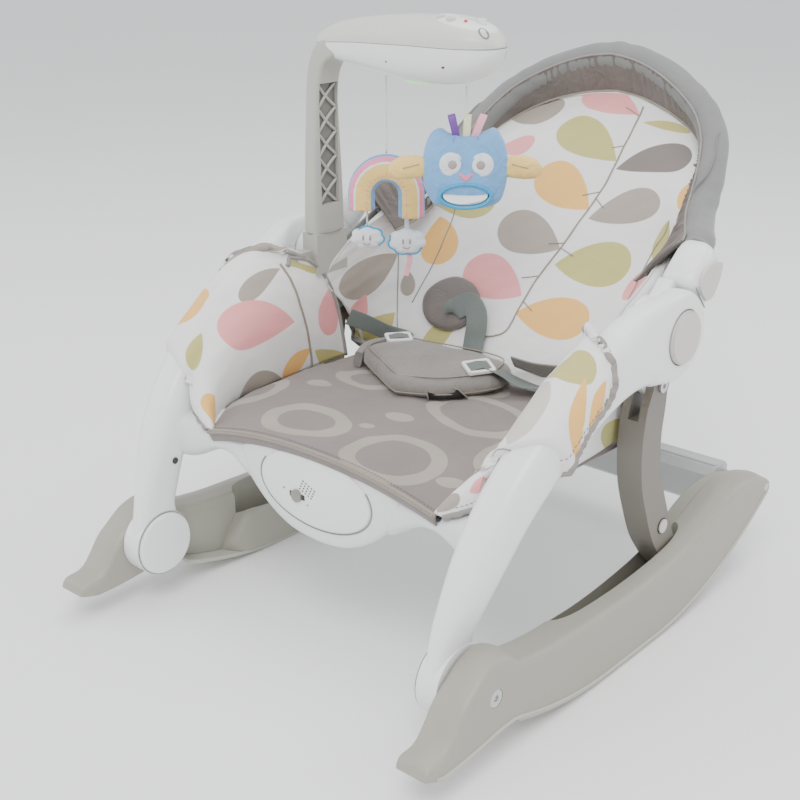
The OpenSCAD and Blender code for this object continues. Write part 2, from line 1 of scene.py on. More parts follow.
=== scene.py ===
import json
import math
import bpy
import numpy as np
from mathutils import Vector
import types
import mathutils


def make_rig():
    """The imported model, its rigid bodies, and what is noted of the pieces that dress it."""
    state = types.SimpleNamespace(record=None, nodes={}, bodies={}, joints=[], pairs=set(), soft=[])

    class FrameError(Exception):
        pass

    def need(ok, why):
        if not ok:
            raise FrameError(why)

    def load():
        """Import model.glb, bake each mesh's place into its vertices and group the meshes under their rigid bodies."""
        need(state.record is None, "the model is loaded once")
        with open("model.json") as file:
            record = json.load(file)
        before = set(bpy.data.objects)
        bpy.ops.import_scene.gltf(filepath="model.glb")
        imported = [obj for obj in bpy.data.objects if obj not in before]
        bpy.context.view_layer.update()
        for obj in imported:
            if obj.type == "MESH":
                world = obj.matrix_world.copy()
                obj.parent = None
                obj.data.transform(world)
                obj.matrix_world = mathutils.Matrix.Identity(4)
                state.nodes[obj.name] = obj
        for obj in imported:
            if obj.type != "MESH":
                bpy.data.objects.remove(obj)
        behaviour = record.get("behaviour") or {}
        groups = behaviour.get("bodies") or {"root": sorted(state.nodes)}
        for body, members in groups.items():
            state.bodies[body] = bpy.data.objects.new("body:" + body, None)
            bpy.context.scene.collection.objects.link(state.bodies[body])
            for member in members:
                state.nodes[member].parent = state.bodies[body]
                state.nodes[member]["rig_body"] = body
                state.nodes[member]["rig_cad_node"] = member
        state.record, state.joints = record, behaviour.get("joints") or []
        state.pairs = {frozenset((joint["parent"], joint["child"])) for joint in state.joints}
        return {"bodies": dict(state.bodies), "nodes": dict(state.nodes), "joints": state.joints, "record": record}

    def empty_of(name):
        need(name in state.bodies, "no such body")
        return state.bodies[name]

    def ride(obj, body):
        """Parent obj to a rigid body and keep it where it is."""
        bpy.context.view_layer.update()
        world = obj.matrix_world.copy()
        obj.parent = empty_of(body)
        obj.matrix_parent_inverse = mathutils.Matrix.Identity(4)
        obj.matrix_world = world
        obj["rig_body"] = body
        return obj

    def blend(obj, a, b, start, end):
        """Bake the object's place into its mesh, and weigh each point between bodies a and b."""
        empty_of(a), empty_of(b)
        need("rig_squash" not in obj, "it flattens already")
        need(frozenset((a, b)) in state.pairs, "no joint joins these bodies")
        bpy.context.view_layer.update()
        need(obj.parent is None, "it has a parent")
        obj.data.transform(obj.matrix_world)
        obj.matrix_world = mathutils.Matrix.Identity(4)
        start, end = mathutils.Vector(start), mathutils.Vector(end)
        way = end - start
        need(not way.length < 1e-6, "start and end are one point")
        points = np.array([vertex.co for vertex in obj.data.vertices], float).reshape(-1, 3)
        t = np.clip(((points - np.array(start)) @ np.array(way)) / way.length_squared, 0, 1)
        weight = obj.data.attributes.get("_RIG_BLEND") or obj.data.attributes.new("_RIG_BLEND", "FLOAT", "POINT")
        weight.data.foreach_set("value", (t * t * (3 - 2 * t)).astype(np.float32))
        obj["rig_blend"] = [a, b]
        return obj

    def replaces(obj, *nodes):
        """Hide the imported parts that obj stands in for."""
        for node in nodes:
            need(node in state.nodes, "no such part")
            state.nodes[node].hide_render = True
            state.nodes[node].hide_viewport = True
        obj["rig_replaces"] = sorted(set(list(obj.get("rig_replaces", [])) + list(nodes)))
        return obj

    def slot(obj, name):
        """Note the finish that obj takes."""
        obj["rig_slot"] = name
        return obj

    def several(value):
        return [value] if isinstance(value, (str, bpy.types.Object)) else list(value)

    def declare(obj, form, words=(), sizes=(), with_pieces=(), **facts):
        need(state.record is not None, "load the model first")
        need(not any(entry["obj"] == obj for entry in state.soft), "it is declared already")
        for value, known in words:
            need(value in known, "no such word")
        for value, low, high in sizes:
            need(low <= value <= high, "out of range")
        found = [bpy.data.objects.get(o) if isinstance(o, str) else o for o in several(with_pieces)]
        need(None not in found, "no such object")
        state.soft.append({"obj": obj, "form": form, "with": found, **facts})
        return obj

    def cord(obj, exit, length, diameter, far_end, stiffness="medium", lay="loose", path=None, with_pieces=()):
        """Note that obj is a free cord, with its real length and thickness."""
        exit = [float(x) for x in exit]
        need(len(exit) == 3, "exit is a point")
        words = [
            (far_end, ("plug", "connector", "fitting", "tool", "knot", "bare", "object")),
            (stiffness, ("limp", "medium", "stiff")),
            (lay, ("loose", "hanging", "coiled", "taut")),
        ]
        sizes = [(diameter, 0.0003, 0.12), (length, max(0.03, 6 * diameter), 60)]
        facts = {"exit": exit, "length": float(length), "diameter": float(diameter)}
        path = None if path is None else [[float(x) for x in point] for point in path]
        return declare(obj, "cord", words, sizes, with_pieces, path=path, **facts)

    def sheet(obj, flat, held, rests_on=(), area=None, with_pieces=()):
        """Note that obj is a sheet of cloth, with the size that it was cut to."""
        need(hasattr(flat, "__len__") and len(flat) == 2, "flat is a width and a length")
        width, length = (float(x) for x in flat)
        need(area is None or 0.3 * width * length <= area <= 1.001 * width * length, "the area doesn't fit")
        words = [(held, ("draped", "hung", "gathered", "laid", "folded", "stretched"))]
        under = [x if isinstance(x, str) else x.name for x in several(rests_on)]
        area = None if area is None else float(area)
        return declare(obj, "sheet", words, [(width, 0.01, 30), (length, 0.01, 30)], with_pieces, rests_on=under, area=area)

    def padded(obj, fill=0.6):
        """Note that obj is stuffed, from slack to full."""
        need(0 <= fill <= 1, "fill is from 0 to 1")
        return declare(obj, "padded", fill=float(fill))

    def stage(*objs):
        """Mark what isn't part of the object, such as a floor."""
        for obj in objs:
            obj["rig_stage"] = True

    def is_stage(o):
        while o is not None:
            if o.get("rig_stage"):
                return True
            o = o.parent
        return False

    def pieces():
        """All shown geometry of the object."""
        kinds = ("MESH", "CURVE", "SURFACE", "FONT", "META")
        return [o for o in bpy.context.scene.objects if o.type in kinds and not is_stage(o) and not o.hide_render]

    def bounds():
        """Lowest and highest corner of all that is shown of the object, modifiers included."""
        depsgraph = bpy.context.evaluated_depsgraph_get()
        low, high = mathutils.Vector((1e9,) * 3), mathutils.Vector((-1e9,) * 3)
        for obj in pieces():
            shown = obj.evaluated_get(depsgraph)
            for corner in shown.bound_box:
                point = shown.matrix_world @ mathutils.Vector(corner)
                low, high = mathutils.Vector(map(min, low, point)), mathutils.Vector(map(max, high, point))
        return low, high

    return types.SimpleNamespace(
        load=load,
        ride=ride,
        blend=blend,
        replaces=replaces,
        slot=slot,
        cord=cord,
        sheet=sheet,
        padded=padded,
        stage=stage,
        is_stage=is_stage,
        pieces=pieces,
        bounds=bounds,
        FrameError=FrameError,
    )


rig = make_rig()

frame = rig.load()
cad_lo, cad_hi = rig.bounds()
N = frame["nodes"]
rng = np.random.default_rng(7)

# ================= geometry (all in mm, before the y shift) =================
# GEOM-START
YS = 9.87
A40 = math.radians(40)


def T(a):
    a = np.array(a, float).reshape(-1, 3).copy()
    a[:, 1] += YS
    return a * 0.001


def cr(p, n):
    """Catmull-Rom through p, n steps a span."""
    p = np.asarray(p, float)
    m = len(p)
    out = []
    for i in range(m - 1):
        a, b, c, d = p[max(i - 1, 0)], p[i], p[i + 1], p[min(i + 2, m - 1)]
        for k in range(n):
            t = k / n
            out.append(0.5 * (2 * b + (c - a) * t + (2 * a - 5 * b + 4 * c - d) * t * t + (3 * b - a - 3 * c + d) * t ** 3))
    out.append(p[-1])
    return np.array(out)


def resample(p, n):
    p = np.asarray(p, float)
    d = np.r_[0, np.cumsum(np.linalg.norm(np.diff(p, axis=0), axis=1))]
    q = np.linspace(0, d[-1], n)
    return np.stack([np.interp(q, d, p[:, k]) for k in range(p.shape[1])], 1)


def smooth_grid(C, nr, nc):
    """C[row][col] control points -> smooth grid."""
    C = np.asarray(C, float)
    rows = np.stack([cr(r, nc) for r in C])
    return np.stack([cr(rows[:, j], nr) for j in range(rows.shape[1])], 1)


def bp(x, s, h=0.0):
    return (x, 28 + s * math.cos(A40) - h * math.sin(A40), 312 + s * math.sin(A40) + h * math.cos(A40))


def arcs(G):
    """u, v in mm along a grid: u across each row from its middle, v down the middle column."""
    m, n = G.shape[:2]
    du = np.linalg.norm(np.diff(G, axis=1), axis=2)
    u = np.concatenate([np.zeros((m, 1)), np.cumsum(du, 1)], 1)
    u -= u[:, n // 2][:, None]
    dv = np.linalg.norm(np.diff(G[:, n // 2], axis=0), axis=1)
    v = np.r_[0, np.cumsum(dv)]
    return np.stack([u, np.repeat(v[:, None], n, 1)], 2)


def hnoise(P, f, seed=0.0):
    x, y, z = P[..., 0] * f, P[..., 1] * f, P[..., 2] * f
    return (np.sin(x * 1.7 + 1.3 * np.sin(y * 1.1 + seed) + seed) + np.sin(y * 2.1 + 1.7 * np.sin(z * 0.9 + seed * 2)) + np.sin(z * 1.9 + 1.1 * np.sin(x * 1.4 - seed))) / 3


def back_grid(nr=8, nc=8):
    C = [(0, 62, 194), (0, 72, 214), (0, 92, 245), (0, 118, 279), (0, 146, 312), (0, 172, 345), (0, 200, 380), (0, 228, 413), (0, 254, 442), (0, 274, 463), (0, 286, 476)]
    E = [(180, 70, 193), (179, 58, 222), (178, 34, 258), (176, 4, 292), (175, 30, 322), (173, 84, 345), (160, 138, 360), (148, 180, 382), (143, 218, 409), (122, 258, 438), (70, 277, 464)]
    low = np.array([(0, 0), (0.30, 0.004), (0.60, 0.03), (0.84, 0.13), (0.955, 0.36), (0.995, 0.68), (1, 1)])
    high = np.array([(0, 0), (0.22, 0.05), (0.44, 0.19), (0.64, 0.40), (0.80, 0.62), (0.92, 0.83), (1, 1)])
    rows = []
    for i, (c, e) in enumerate(zip(C, E)):
        k = min(1, max(0, (i - 5) / 3.0))
        pr = low * (1 - k) + high * k
        c, e = np.array(c, float), np.array(e, float)
        half = []
        for fx, g in pr:
            half.append((e[0] * fx, c[1] + (e[1] - c[1]) * g, c[2] + (e[2] - c[2]) * g))
        half = np.array(half)
        left = half[::-1][:-1] * [-1, 1, 1]
        rows.append(np.vstack([left, half]))
    G = smooth_grid(rows, nr, nc)
    return G


def arm_grid(side, nr=8, nc=8):
    """side +1 or -1; rows run from the front corner to the hub, columns from the pan up over the arm to the hem."""
    if side > 0:
        S = [
            [(139, -197, 187), (141, -198, 189), (143, -199, 190), (146, -199, 190), (149, -198, 189), (151, -197, 188)],
            [(158, -178, 190), (160, -182, 205), (165, -187, 217), (172, -190, 219), (178, -188, 212), (180, -184, 203)],
            [(172, -152, 191), (173, -158, 220), (180, -165, 242), (192, -171, 250), (203, -168, 243), (206, -158, 230)],
            [(180, -118, 192), (180, -124, 232), (186, -134, 266), (202, -146, 284), (222, -146, 272), (229, -134, 250)],
            [(182, -84, 193), (181, -90, 245), (187, -98, 288), (204, -110, 308), (228, -114, 298), (239, -116, 268)],
            [(183, -48, 194), (181, -54, 252), (185, -62, 300), (202, -76, 325), (230, -86, 316), (244, -96, 285)],
            [(183, -14, 195), (181, -20, 256), (183, -34, 302), (192, -54, 329), (218, -76, 330), (243, -86, 306)],
            [(182, 14, 196), (181, 6, 256), (179, -12, 296), (182, -34, 318), (196, -58, 332), (224, -78, 328)],
            [(181, 38, 196), (180, 26, 250), (177, 6, 290), (177, -14, 310), (182, -36, 322), (194, -60, 331)],
        ]
    else:
        S = [
            [(139, -197, 187), (141, -198, 189), (143, -199, 190), (146, -199, 190), (149, -198, 189), (151, -197, 188)],
            [(158, -178, 190), (160, -183, 205), (166, -190, 214), (174, -193, 212), (181, -190, 203), (184, -185, 195)],
            [(172, -152, 191), (173, -160, 221), (181, -170, 243), (198, -178, 243), (211, -174, 222), (215, -167, 200)],
            [(180, -118, 192), (180, -126, 233), (187, -138, 268), (206, -153, 280), (226, -156, 250), (231, -150, 217)],
            [(182, -84, 193), (181, -90, 246), (188, -100, 290), (208, -116, 308), (234, -126, 280), (240, -134, 236)],
            [(183, -48, 194), (181, -54, 253), (186, -64, 302), (206, -80, 328), (236, -96, 310), (246, -108, 262)],
            [(183, -14, 195), (181, -20, 257), (184, -34, 304), (194, -54, 333), (224, -78, 332), (245, -90, 296)],
            [(182, 14, 196), (181, 6, 257), (180, -12, 298), (184, -34, 322), (200, -58, 336), (228, -80, 328)],
            [(181, 38, 196), (180, 26, 250), (177, 6, 292), (178, -14, 314), (184, -36, 327), (196, -60, 336)],
        ]
    G = smooth_grid(S, nr, nc)
    # soft dents between arm and pan, puffed wall
    m, n = G.shape[:2]
    uu = np.linspace(0, 1, n)[None, :]
    vv = np.linspace(0, 1, m)[:, None]
    puff = np.sin(np.pi * np.clip(uu / 0.55, 0, 1)) * np.sin(np.pi * np.clip(vv * 1.05, 0, 1)) ** 0.6
    G[..., 0] -= 9 * puff
    G[..., 0] += 1.3 * hnoise(G, 0.045, 2.0 * side) * np.sin(np.pi * uu) * np.sin(np.pi * vv)
    G[..., 0] *= side
    return G


def pan_edge(x):
    """front edge of the pan: y and z at x"""
    t = abs(x) / 146
    return -199 - 3.0 * (1 - t * t), 188.5 + 20.5 * (1 - min(1, t) ** 2.2)


def pan_grid(nx=72, ny=60):
    xs = np.linspace(-1, 1, nx)
    ys_ = np.linspace(0, 1, ny)
    G = np.zeros((ny, nx, 3))
    prof_w = np.array([(-199, 141), (-178, 158), (-150, 173), (-115, 181), (-60, 184), (0, 184), (70, 182)])
    for j, v in enumerate(ys_):
        for i, u in enumerate(xs):
            y0 = -199 + v * 264
            w = np.interp(y0, prof_w[:, 0], prof_w[:, 1])
            x = u * w
            ye, ze = pan_edge(max(-146, min(146, x)))
            y = y0 if v > 0.15 else ye + (y0 + 199) * 1.0
            edge = min(1.0, (1 - abs(u)) * w / 26.0)
            crown = 204 + 3.0 * math.sin(math.pi * min(1, v * 1.1)) - 3.5 * (u * u)
            front = math.exp(-((y - ye) / 30.0) ** 2)
            z = crown * (1 - front) + ze * front
            z -= 11 * (1 - math.sin(edge * math.pi / 2)) * (1 - front)
            G[j, i] = (x, y, z)
    env = (np.sin(np.pi * np.linspace(0, 1, ny))[:, None] ** 0.7) * (np.cos(np.linspace(-1, 1, nx) * np.pi / 2)[None, :] ** 0.5)
    wr = 1.7 * np.sin(G[..., 0] * 0.05 + 0.06 * G[..., 1] + 1.5 * np.sin(G[..., 1] * 0.03)) ** 3 + 1.2 * np.sin(G[..., 0] * 0.021 - G[..., 1] * 0.083 + 2) ** 5
    G[..., 2] += env * wr
    return G
# GEOM-END


# ================= mesh helpers =================
def link(name, me):
    o = bpy.data.objects.new(name, me)
    bpy.context.scene.collection.objects.link(o)
    return o


def mesh(name, V, F, mat=None, uv=None, smooth=True, raw=True):
    me = bpy.data.meshes.new(name)
    V = T(V) if raw else np.asarray(V, float)
    me.from_pydata([tuple(map(float, v)) for v in V], [], [tuple(int(i) for i in f) for f in F])
    me.update()
    if uv is not None:
        lay = me.uv_layers.new(name="UV")
        idx = np.array([l.vertex_index for l in me.loops])
        lay.data.foreach_set("uv", (np.asarray(uv, float).reshape(-1, 2)[idx] / 100.0).astype(np.float32).ravel())
    if smooth:
        me.polygons.foreach_set("use_smooth", [True] * len(me.polygons))
    o = link(name, me)
    if mat:
        me.materials.append(mat)
    return o


def gridmesh(name, G, mat, uv=None, wrap=False, caps=False, flip=False, thick=0.0, subd=0):
    G = np.asarray(G, float)
    m, n = G.shape[:2]
    F = []
    nn = n if wrap else n - 1
    for i in range(m - 1):
        for j in range(nn):
            a, b, c, d = i * n + j, i * n + (j + 1) % n, (i + 1) * n + (j + 1) % n, (i + 1) * n + j
            F.append((a, d, c, b) if flip else (a, b, c, d))
    if caps and wrap:
        F.append(tuple(range(n)) if flip else tuple(range(n - 1, -1, -1)))
        F.append(tuple((m - 1) * n + j for j in (range(n - 1, -1, -1) if flip else range(n))))
    o = mesh(name, G.reshape(-1, 3), F, mat, uv)
    if thick:
        md = o.modifiers.new("t", "SOLIDIFY")
        md.thickness = thick * 0.001
        md.offset = 0
        md.use_even_offset = True
    if subd:
        md = o.modifiers.new("s", "SUBSURF")
        md.levels = md.render_levels = subd
    return o


def bake(o):
    dg = bpy.context.evaluated_depsgraph_get()
    bpy.context.view_layer.update()
    me = bpy.data.meshes.new_from_object(o.evaluated_get(dg))
    old = o.data
    o.modifiers.clear()
    o.data = me
    bpy.data.meshes.remove(old)
    return o


def fixn(o):
    import bmesh
    bm = bmesh.new()
    bm.from_mesh(o.data)
    bmesh.ops.recalc_face_normals(bm, faces=bm.faces)
    bm.to_mesh(o.data)
    bm.free()
    return o


def frames(P, up=(0, 0, 1)):
    P = np.asarray(P, float)
    t = np.gradient(P, axis=0)
    t /= np.linalg.norm(t, axis=1)[:, None] + 1e-12
    u = np.cross(t, np.asarray(up, float))
    u /= np.linalg.norm(u, axis=1)[:, None] + 1e-12
    return t, u, np.cross(t, u)


def tube(name, P, r, mat, n=12, up=(0, 0, 1), caps=True, closed=False):
    P = np.asarray(P, float)
    t, u, v = frames(P, up)
    r = np.broadcast_to(np.asarray(r, float), (len(P),))
    a = np.linspace(0, 2 * np.pi, n, endpoint=False)
    G = P[:, None] + r[:, None, None] * (u[:, None] * np.cos(a)[None, :, None] + v[:, None] * np.sin(a)[None, :, None])
    return fixn(gridmesh(name, G, mat, wrap=True, caps=caps))


def superring(c, u, v, e=3.5, n=36):
    a = np.linspace(0, 2 * np.pi, n, endpoint=False)
    ca, sa = np.cos(a), np.sin(a)
    cu = np.sign(ca) * np.abs(ca) ** (2 / e)
    sv = np.sign(sa) * np.abs(sa) ** (2 / e)
    return np.asarray(c)[None] + cu[:, None] * np.asarray(u)[None] + sv[:, None] * np.asarray(v)[None]


def loft(name, R, mat, caps=True, subd=0):
    return fixn(gridmesh(name, np.asarray(R), mat, wrap=True, caps=caps, subd=subd))


def boxm(name, a, b, mat, bev=0.6, seg=2):
    (x0, y0, z0), (x1, y1, z1) = a, b
    V = [(x, y, z) for x in (x0, x1) for y in (y0, y1) for z in (z0, z1)]
    F = [(0, 1, 3, 2), (4, 6, 7, 5), (0, 4, 5, 1), (2, 3, 7, 6), (0, 2, 6, 4), (1, 5, 7, 3)]
    o = fixn(mesh(name, V, F, mat, smooth=False))
    if bev:
        md = o.modifiers.new("b", "BEVEL")
        md.width = bev * 0.001
        md.segments = seg
        md.harden_normals = False
        bake(o)
        o.data.polygons.foreach_set("use_smooth", [True] * len(o.data.polygons))
        shade_auto(o)
    return o


def cylm(name, p0, p1, r, mat, n=40, r2=None, bev=0.0):
    p0, p1 = np.asarray(p0, float), np.asarray(p1, float)
    t = (p1 - p0) / np.linalg.norm(p1 - p0)
    w = np.array([0, 0, 1.0]) if abs(t[2]) < 0.9 else np.array([1.0, 0, 0])
    u = np.cross(t, w)
    u /= np.linalg.norm(u)
    v = np.cross(t, u)
    a = np.linspace(0, 2 * np.pi, n, endpoint=False)
    r2 = r if r2 is None else r2
    L = np.linalg.norm(p1 - p0)
    st = [(0, r), (L, r2)] if not bev else [(0, r), (L - bev, r2), (L - bev * 0.45, r2 - bev * 0.2), (L - 0.1 * bev, r2 - bev * 0.6), (L, r2 - bev)]
    G = np.array([[p0 + t * s + q * (u * math.cos(x) + v * math.sin(x)) for x in a] for s, q in st])
    o = fixn(gridmesh(name, G, mat, wrap=True, caps=True))
    shade_auto(o)
    return o


def shade_auto(o, ang=35):
    """smooth shading that keeps edges sharper than ang"""
    me = o.data
    me.polygons.foreach_set("use_smooth", [True] * len(me.polygons))
    import bmesh
    bm = bmesh.new()
    bm.from_mesh(me)
    for e in bm.edges:
        if len(e.link_faces) == 2 and e.calc_face_angle(0) > math.radians(ang):
            e.smooth = False
        else:
            e.smooth = True
    bm.to_mesh(me)
    bm.free()
    return o


def cutb(o, cutter, op="DIFFERENCE"):
    md = o.modifiers.new("c", "BOOLEAN")
    md.operation = op
    md.object = cutter
    md.solver = "EXACT"
    bake(o)
    bpy.data.objects.remove(cutter)
    return o


def join(name, objs):
    import bmesh
    mats, V, F, M, UV, SM = [], [], [], [], [], []
    out = bpy.data.meshes.new(name)
    bm = bmesh.new()
    for o in objs:
        for m_ in o.data.materials:
            if m_ not in mats:
                mats.append(m_)
    for o in objs:
        me = o.data.copy()
        me.transform(o.matrix_world)
        remap = [mats.index(m_) for m_ in o.data.materials] or [0]
        for p in me.polygons:
            p.material_index = remap[min(p.material_index, len(remap) - 1)]
        bm.from_mesh(me)
        bpy.data.meshes.remove(me)
    bm.to_mesh(out)
    bm.free()
    for m_ in mats:
        out.materials.append(m_)
    for o in objs:
        bpy.data.objects.remove(o)
    return link(name, out)


# ================= materials =================
def material(name, col, rough=0.5, vary=0.04, vscale=14, bump=0.0, bscale=900, spec=0.5, metal=0.0, coat=0.0, sheen=0.0, wr=0.0, wscale=18, sss=0.0, trans=0.0, emit=None):
    m = bpy.data.materials.new(name)
    m.use_nodes = True
    nt = m.node_tree
    b = nt.nodes["Principled BSDF"]
    b.inputs["Roughness"].default_value = rough
    b.inputs["Metallic"].default_value = metal
    b.inputs["Specular IOR Level"].default_value = spec
    b.inputs["Coat Weight"].default_value = coat
    b.inputs["Sheen Weight"].default_value = sheen
    if sheen:
        b.inputs["Sheen Roughness"].default_value = 0.4
    if sss:
        b.inputs["Subsurface Weight"].default_value = sss
        b.inputs["Subsurface Scale"].default_value = 0.01
    if trans:
        b.inputs["Transmission Weight"].default_value = trans
    if emit:
        b.inputs["Emission Color"].default_value = (*emit[0], 1)
        b.inputs["Emission Strength"].default_value = emit[1]
    tc = nt.nodes.new("ShaderNodeTexCoord")
    n1 = nt.nodes.new("ShaderNodeTexNoise")
    n1.inputs["Scale"].default_value = vscale
    n1.inputs["Detail"].default_value = 5
    nt.links.new(tc.outputs["Object"], n1.inputs["Vector"])
    ramp = nt.nodes.new("ShaderNodeMapRange")
    ramp.inputs["From Min"].default_value = 0.3
    ramp.inputs["From Max"].default_value = 0.7
    ramp.inputs["To Min"].default_value = 1 - vary
    ramp.inputs["To Max"].default_value = 1 + vary
    nt.links.new(n1.outputs["Fac"], ramp.inputs["Value"])
    mul = nt.nodes.new("ShaderNodeVectorMath")
    mul.operation = "SCALE"
    mul.inputs[0].default_value = col
    nt.links.new(ramp.outputs["Result"], mul.inputs["Scale"])
    nt.links.new(mul.outputs["Vector"], b.inputs["Base Color"])
    rr = nt.nodes.new("ShaderNodeMapRange")
    rr.inputs["From Min"].default_value = 0.3
    rr.inputs["From Max"].default_value = 0.7
    rr.inputs["To Min"].default_value = rough * 0.92
    rr.inputs["To Max"].default_value = min(1, rough * 1.1)
    nt.links.new(n1.outputs["Fac"], rr.inputs["Value"])
    nt.links.new(rr.outputs["Result"], b.inputs["Roughness"])
    m["col_socket"] = mul.name
    last = None
    if wr:
        n3 = nt.nodes.new("ShaderNodeTexNoise")
        n3.inputs["Scale"].default_value = wscale
        n3.inputs["Detail"].default_value = 3
        n3.inputs["Distortion"].default_value = 1.2
        nt.links.new(tc.outputs["Object"], n3.inputs["Vector"])
        b3 = nt.nodes.new("ShaderNodeBump")
        b3.inputs["Strength"].default_value = wr
        b3.inputs["Distance"].default_value = 0.006
        nt.links.new(n3.outputs["Fac"], b3.inputs["Height"])
        last = b3
    if bump:
        n2 = nt.nodes.new("ShaderNodeTexNoise")
        n2.inputs["Scale"].default_value = bscale
        n2.inputs["Detail"].default_value = 2
        nt.links.new(tc.outputs["Object"], n2.inputs["Vector"])
        bu = nt.nodes.new("ShaderNodeBump")
        bu.inputs["Strength"].default_value = bump
        bu.inputs["Distance"].default_value = 0.0008
        nt.links.new(n2.outputs["Fac"], bu.inputs["Height"])
        if last:
            nt.links.new(last.outputs["Normal"], bu.inputs["Normal"])
        last = bu
    if last:
        nt.links.new(last.outputs["Normal"], b.inputs["Normal"])
    return m


def leaf_group():
    g = bpy.data.node_groups.new("leaf", "ShaderNodeTree")
    g.interface.new_socket("P", in_out="INPUT", socket_type="NodeSocketVector")
    for nm in ("cx", "cy", "cos", "sin", "hl", "hw", "a", "b", "bend"):
        g.interface.new_socket(nm, in_out="INPUT", socket_type="NodeSocketFloat")
    g.interface.new_socket("mask", in_out="OUTPUT", socket_type="NodeSocketFloat")
    gi = g.nodes.new("NodeGroupInput")
    go = g.nodes.new("NodeGroupOutput")

    def M(op, *v):
        n = g.nodes.new("ShaderNodeMath")
        n.operation = op
        for i, x in enumerate(v):
            if isinstance(x, (int, float)):
                n.inputs[i].default_value = x
            else:
                g.links.new(x, n.inputs[i])
        return n.outputs[0]
    sp = g.nodes.new("ShaderNodeSeparateXYZ")
    g.links.new(gi.outputs["P"], sp.inputs[0])
    I = gi.outputs
    dx = M("SUBTRACT", sp.outputs[0], I["cx"])
    dy = M("SUBTRACT", sp.outputs[1], I["cy"])
    xr = M("ADD", M("MULTIPLY", dx, I["cos"]), M("MULTIPLY", dy, I["sin"]))
    yr = M("SUBTRACT", M("MULTIPLY", dy, I["cos"]), M("MULTIPLY", dx, I["sin"]))
    x = M("DIVIDE", xr, I["hl"])
    xc = M("MAXIMUM", M("MINIMUM", x, 1.0), -1.0)
    yb = M("SUBTRACT", yr, M("MULTIPLY", I["bend"], M("SUBTRACT", 1.0, M("MULTIPLY", xc, xc))))
    prof = M("MULTIPLY", M("POWER", M("MAXIMUM", M("ADD", 1.0, xc), 0.0), I["a"]), M("POWER", M("MAXIMUM", M("SUBTRACT", 1.0, xc), 0.0), I["b"]))
    h = M("MULTIPLY", prof, I["hw"])
    d = M("SUBTRACT", h, M("ABSOLUTE", yb))
    k = M("DIVIDE", d, 0.9)
    out = M("MAXIMUM", M("MINIMUM", k, 1.0), 0.0)
    g.links.new(out, go.inputs[0])
    return g


LEAF = None


def add_leaves(m, leaves, base=None):
    """leaves: (cx, cy, angle deg, half length, half width, tip share, bend, colour) in fabric mm. The pointed end is at +x."""
    global LEAF
    if LEAF is None:
        LEAF = leaf_group()
    nt = m.node_tree
    b = nt.nodes["Principled BSDF"]
    uvn = nt.nodes.new("ShaderNodeUVMap")
    uvn.uv_map = "UV"
    sc = nt.nodes.new("ShaderNodeVectorMath")
    sc.operation = "SCALE"
    sc.inputs["Scale"].default_value = 100.0
    nt.links.new(uvn.outputs[0], sc.inputs[0])
    mulname = m["col_socket"]
    mul = nt.nodes[mulname]
    basecol = tuple(mul.inputs[0].default_value)
    rgb = nt.nodes.new("ShaderNodeRGB")
    rgb.outputs[0].default_value = (*basecol, 1)
    cur = rgb.outputs[0]
    for (cx, cy, ang, hl, hw, tip, bend, col) in leaves:
        g = nt.nodes.new("ShaderNodeGroup")
        g.node_tree = LEAF
        nt.links.new(sc.outputs[0], g.inputs["P"])
        # profile (1+x)^a (1-x)^b: a small (round end at -x), b near 1 (point at +x)
        a, bb = 0.5, tip
        xm = (a - bb) / (a + bb)
        peak = (1 + xm) ** a * (1 - xm) ** bb
        for k, v in (("cx", cx), ("cy", cy), ("cos", math.cos(math.radians(ang))), ("sin", math.sin(math.radians(ang))), ("hl", hl), ("hw", hw / peak), ("a", a), ("b", bb), ("bend", bend)):
            g.inputs[k].default_value = v
        mx = nt.nodes.new("ShaderNodeMix")
        mx.data_type = "RGBA"
        nt.links.new(g.outputs[0], mx.inputs[0])
        nt.links.new(cur, mx.inputs[6])
        mx.inputs[7].default_value = (*col, 1)
        cur = mx.outputs[2]
    nt.links.new(cur, mul.inputs[0])
    return m


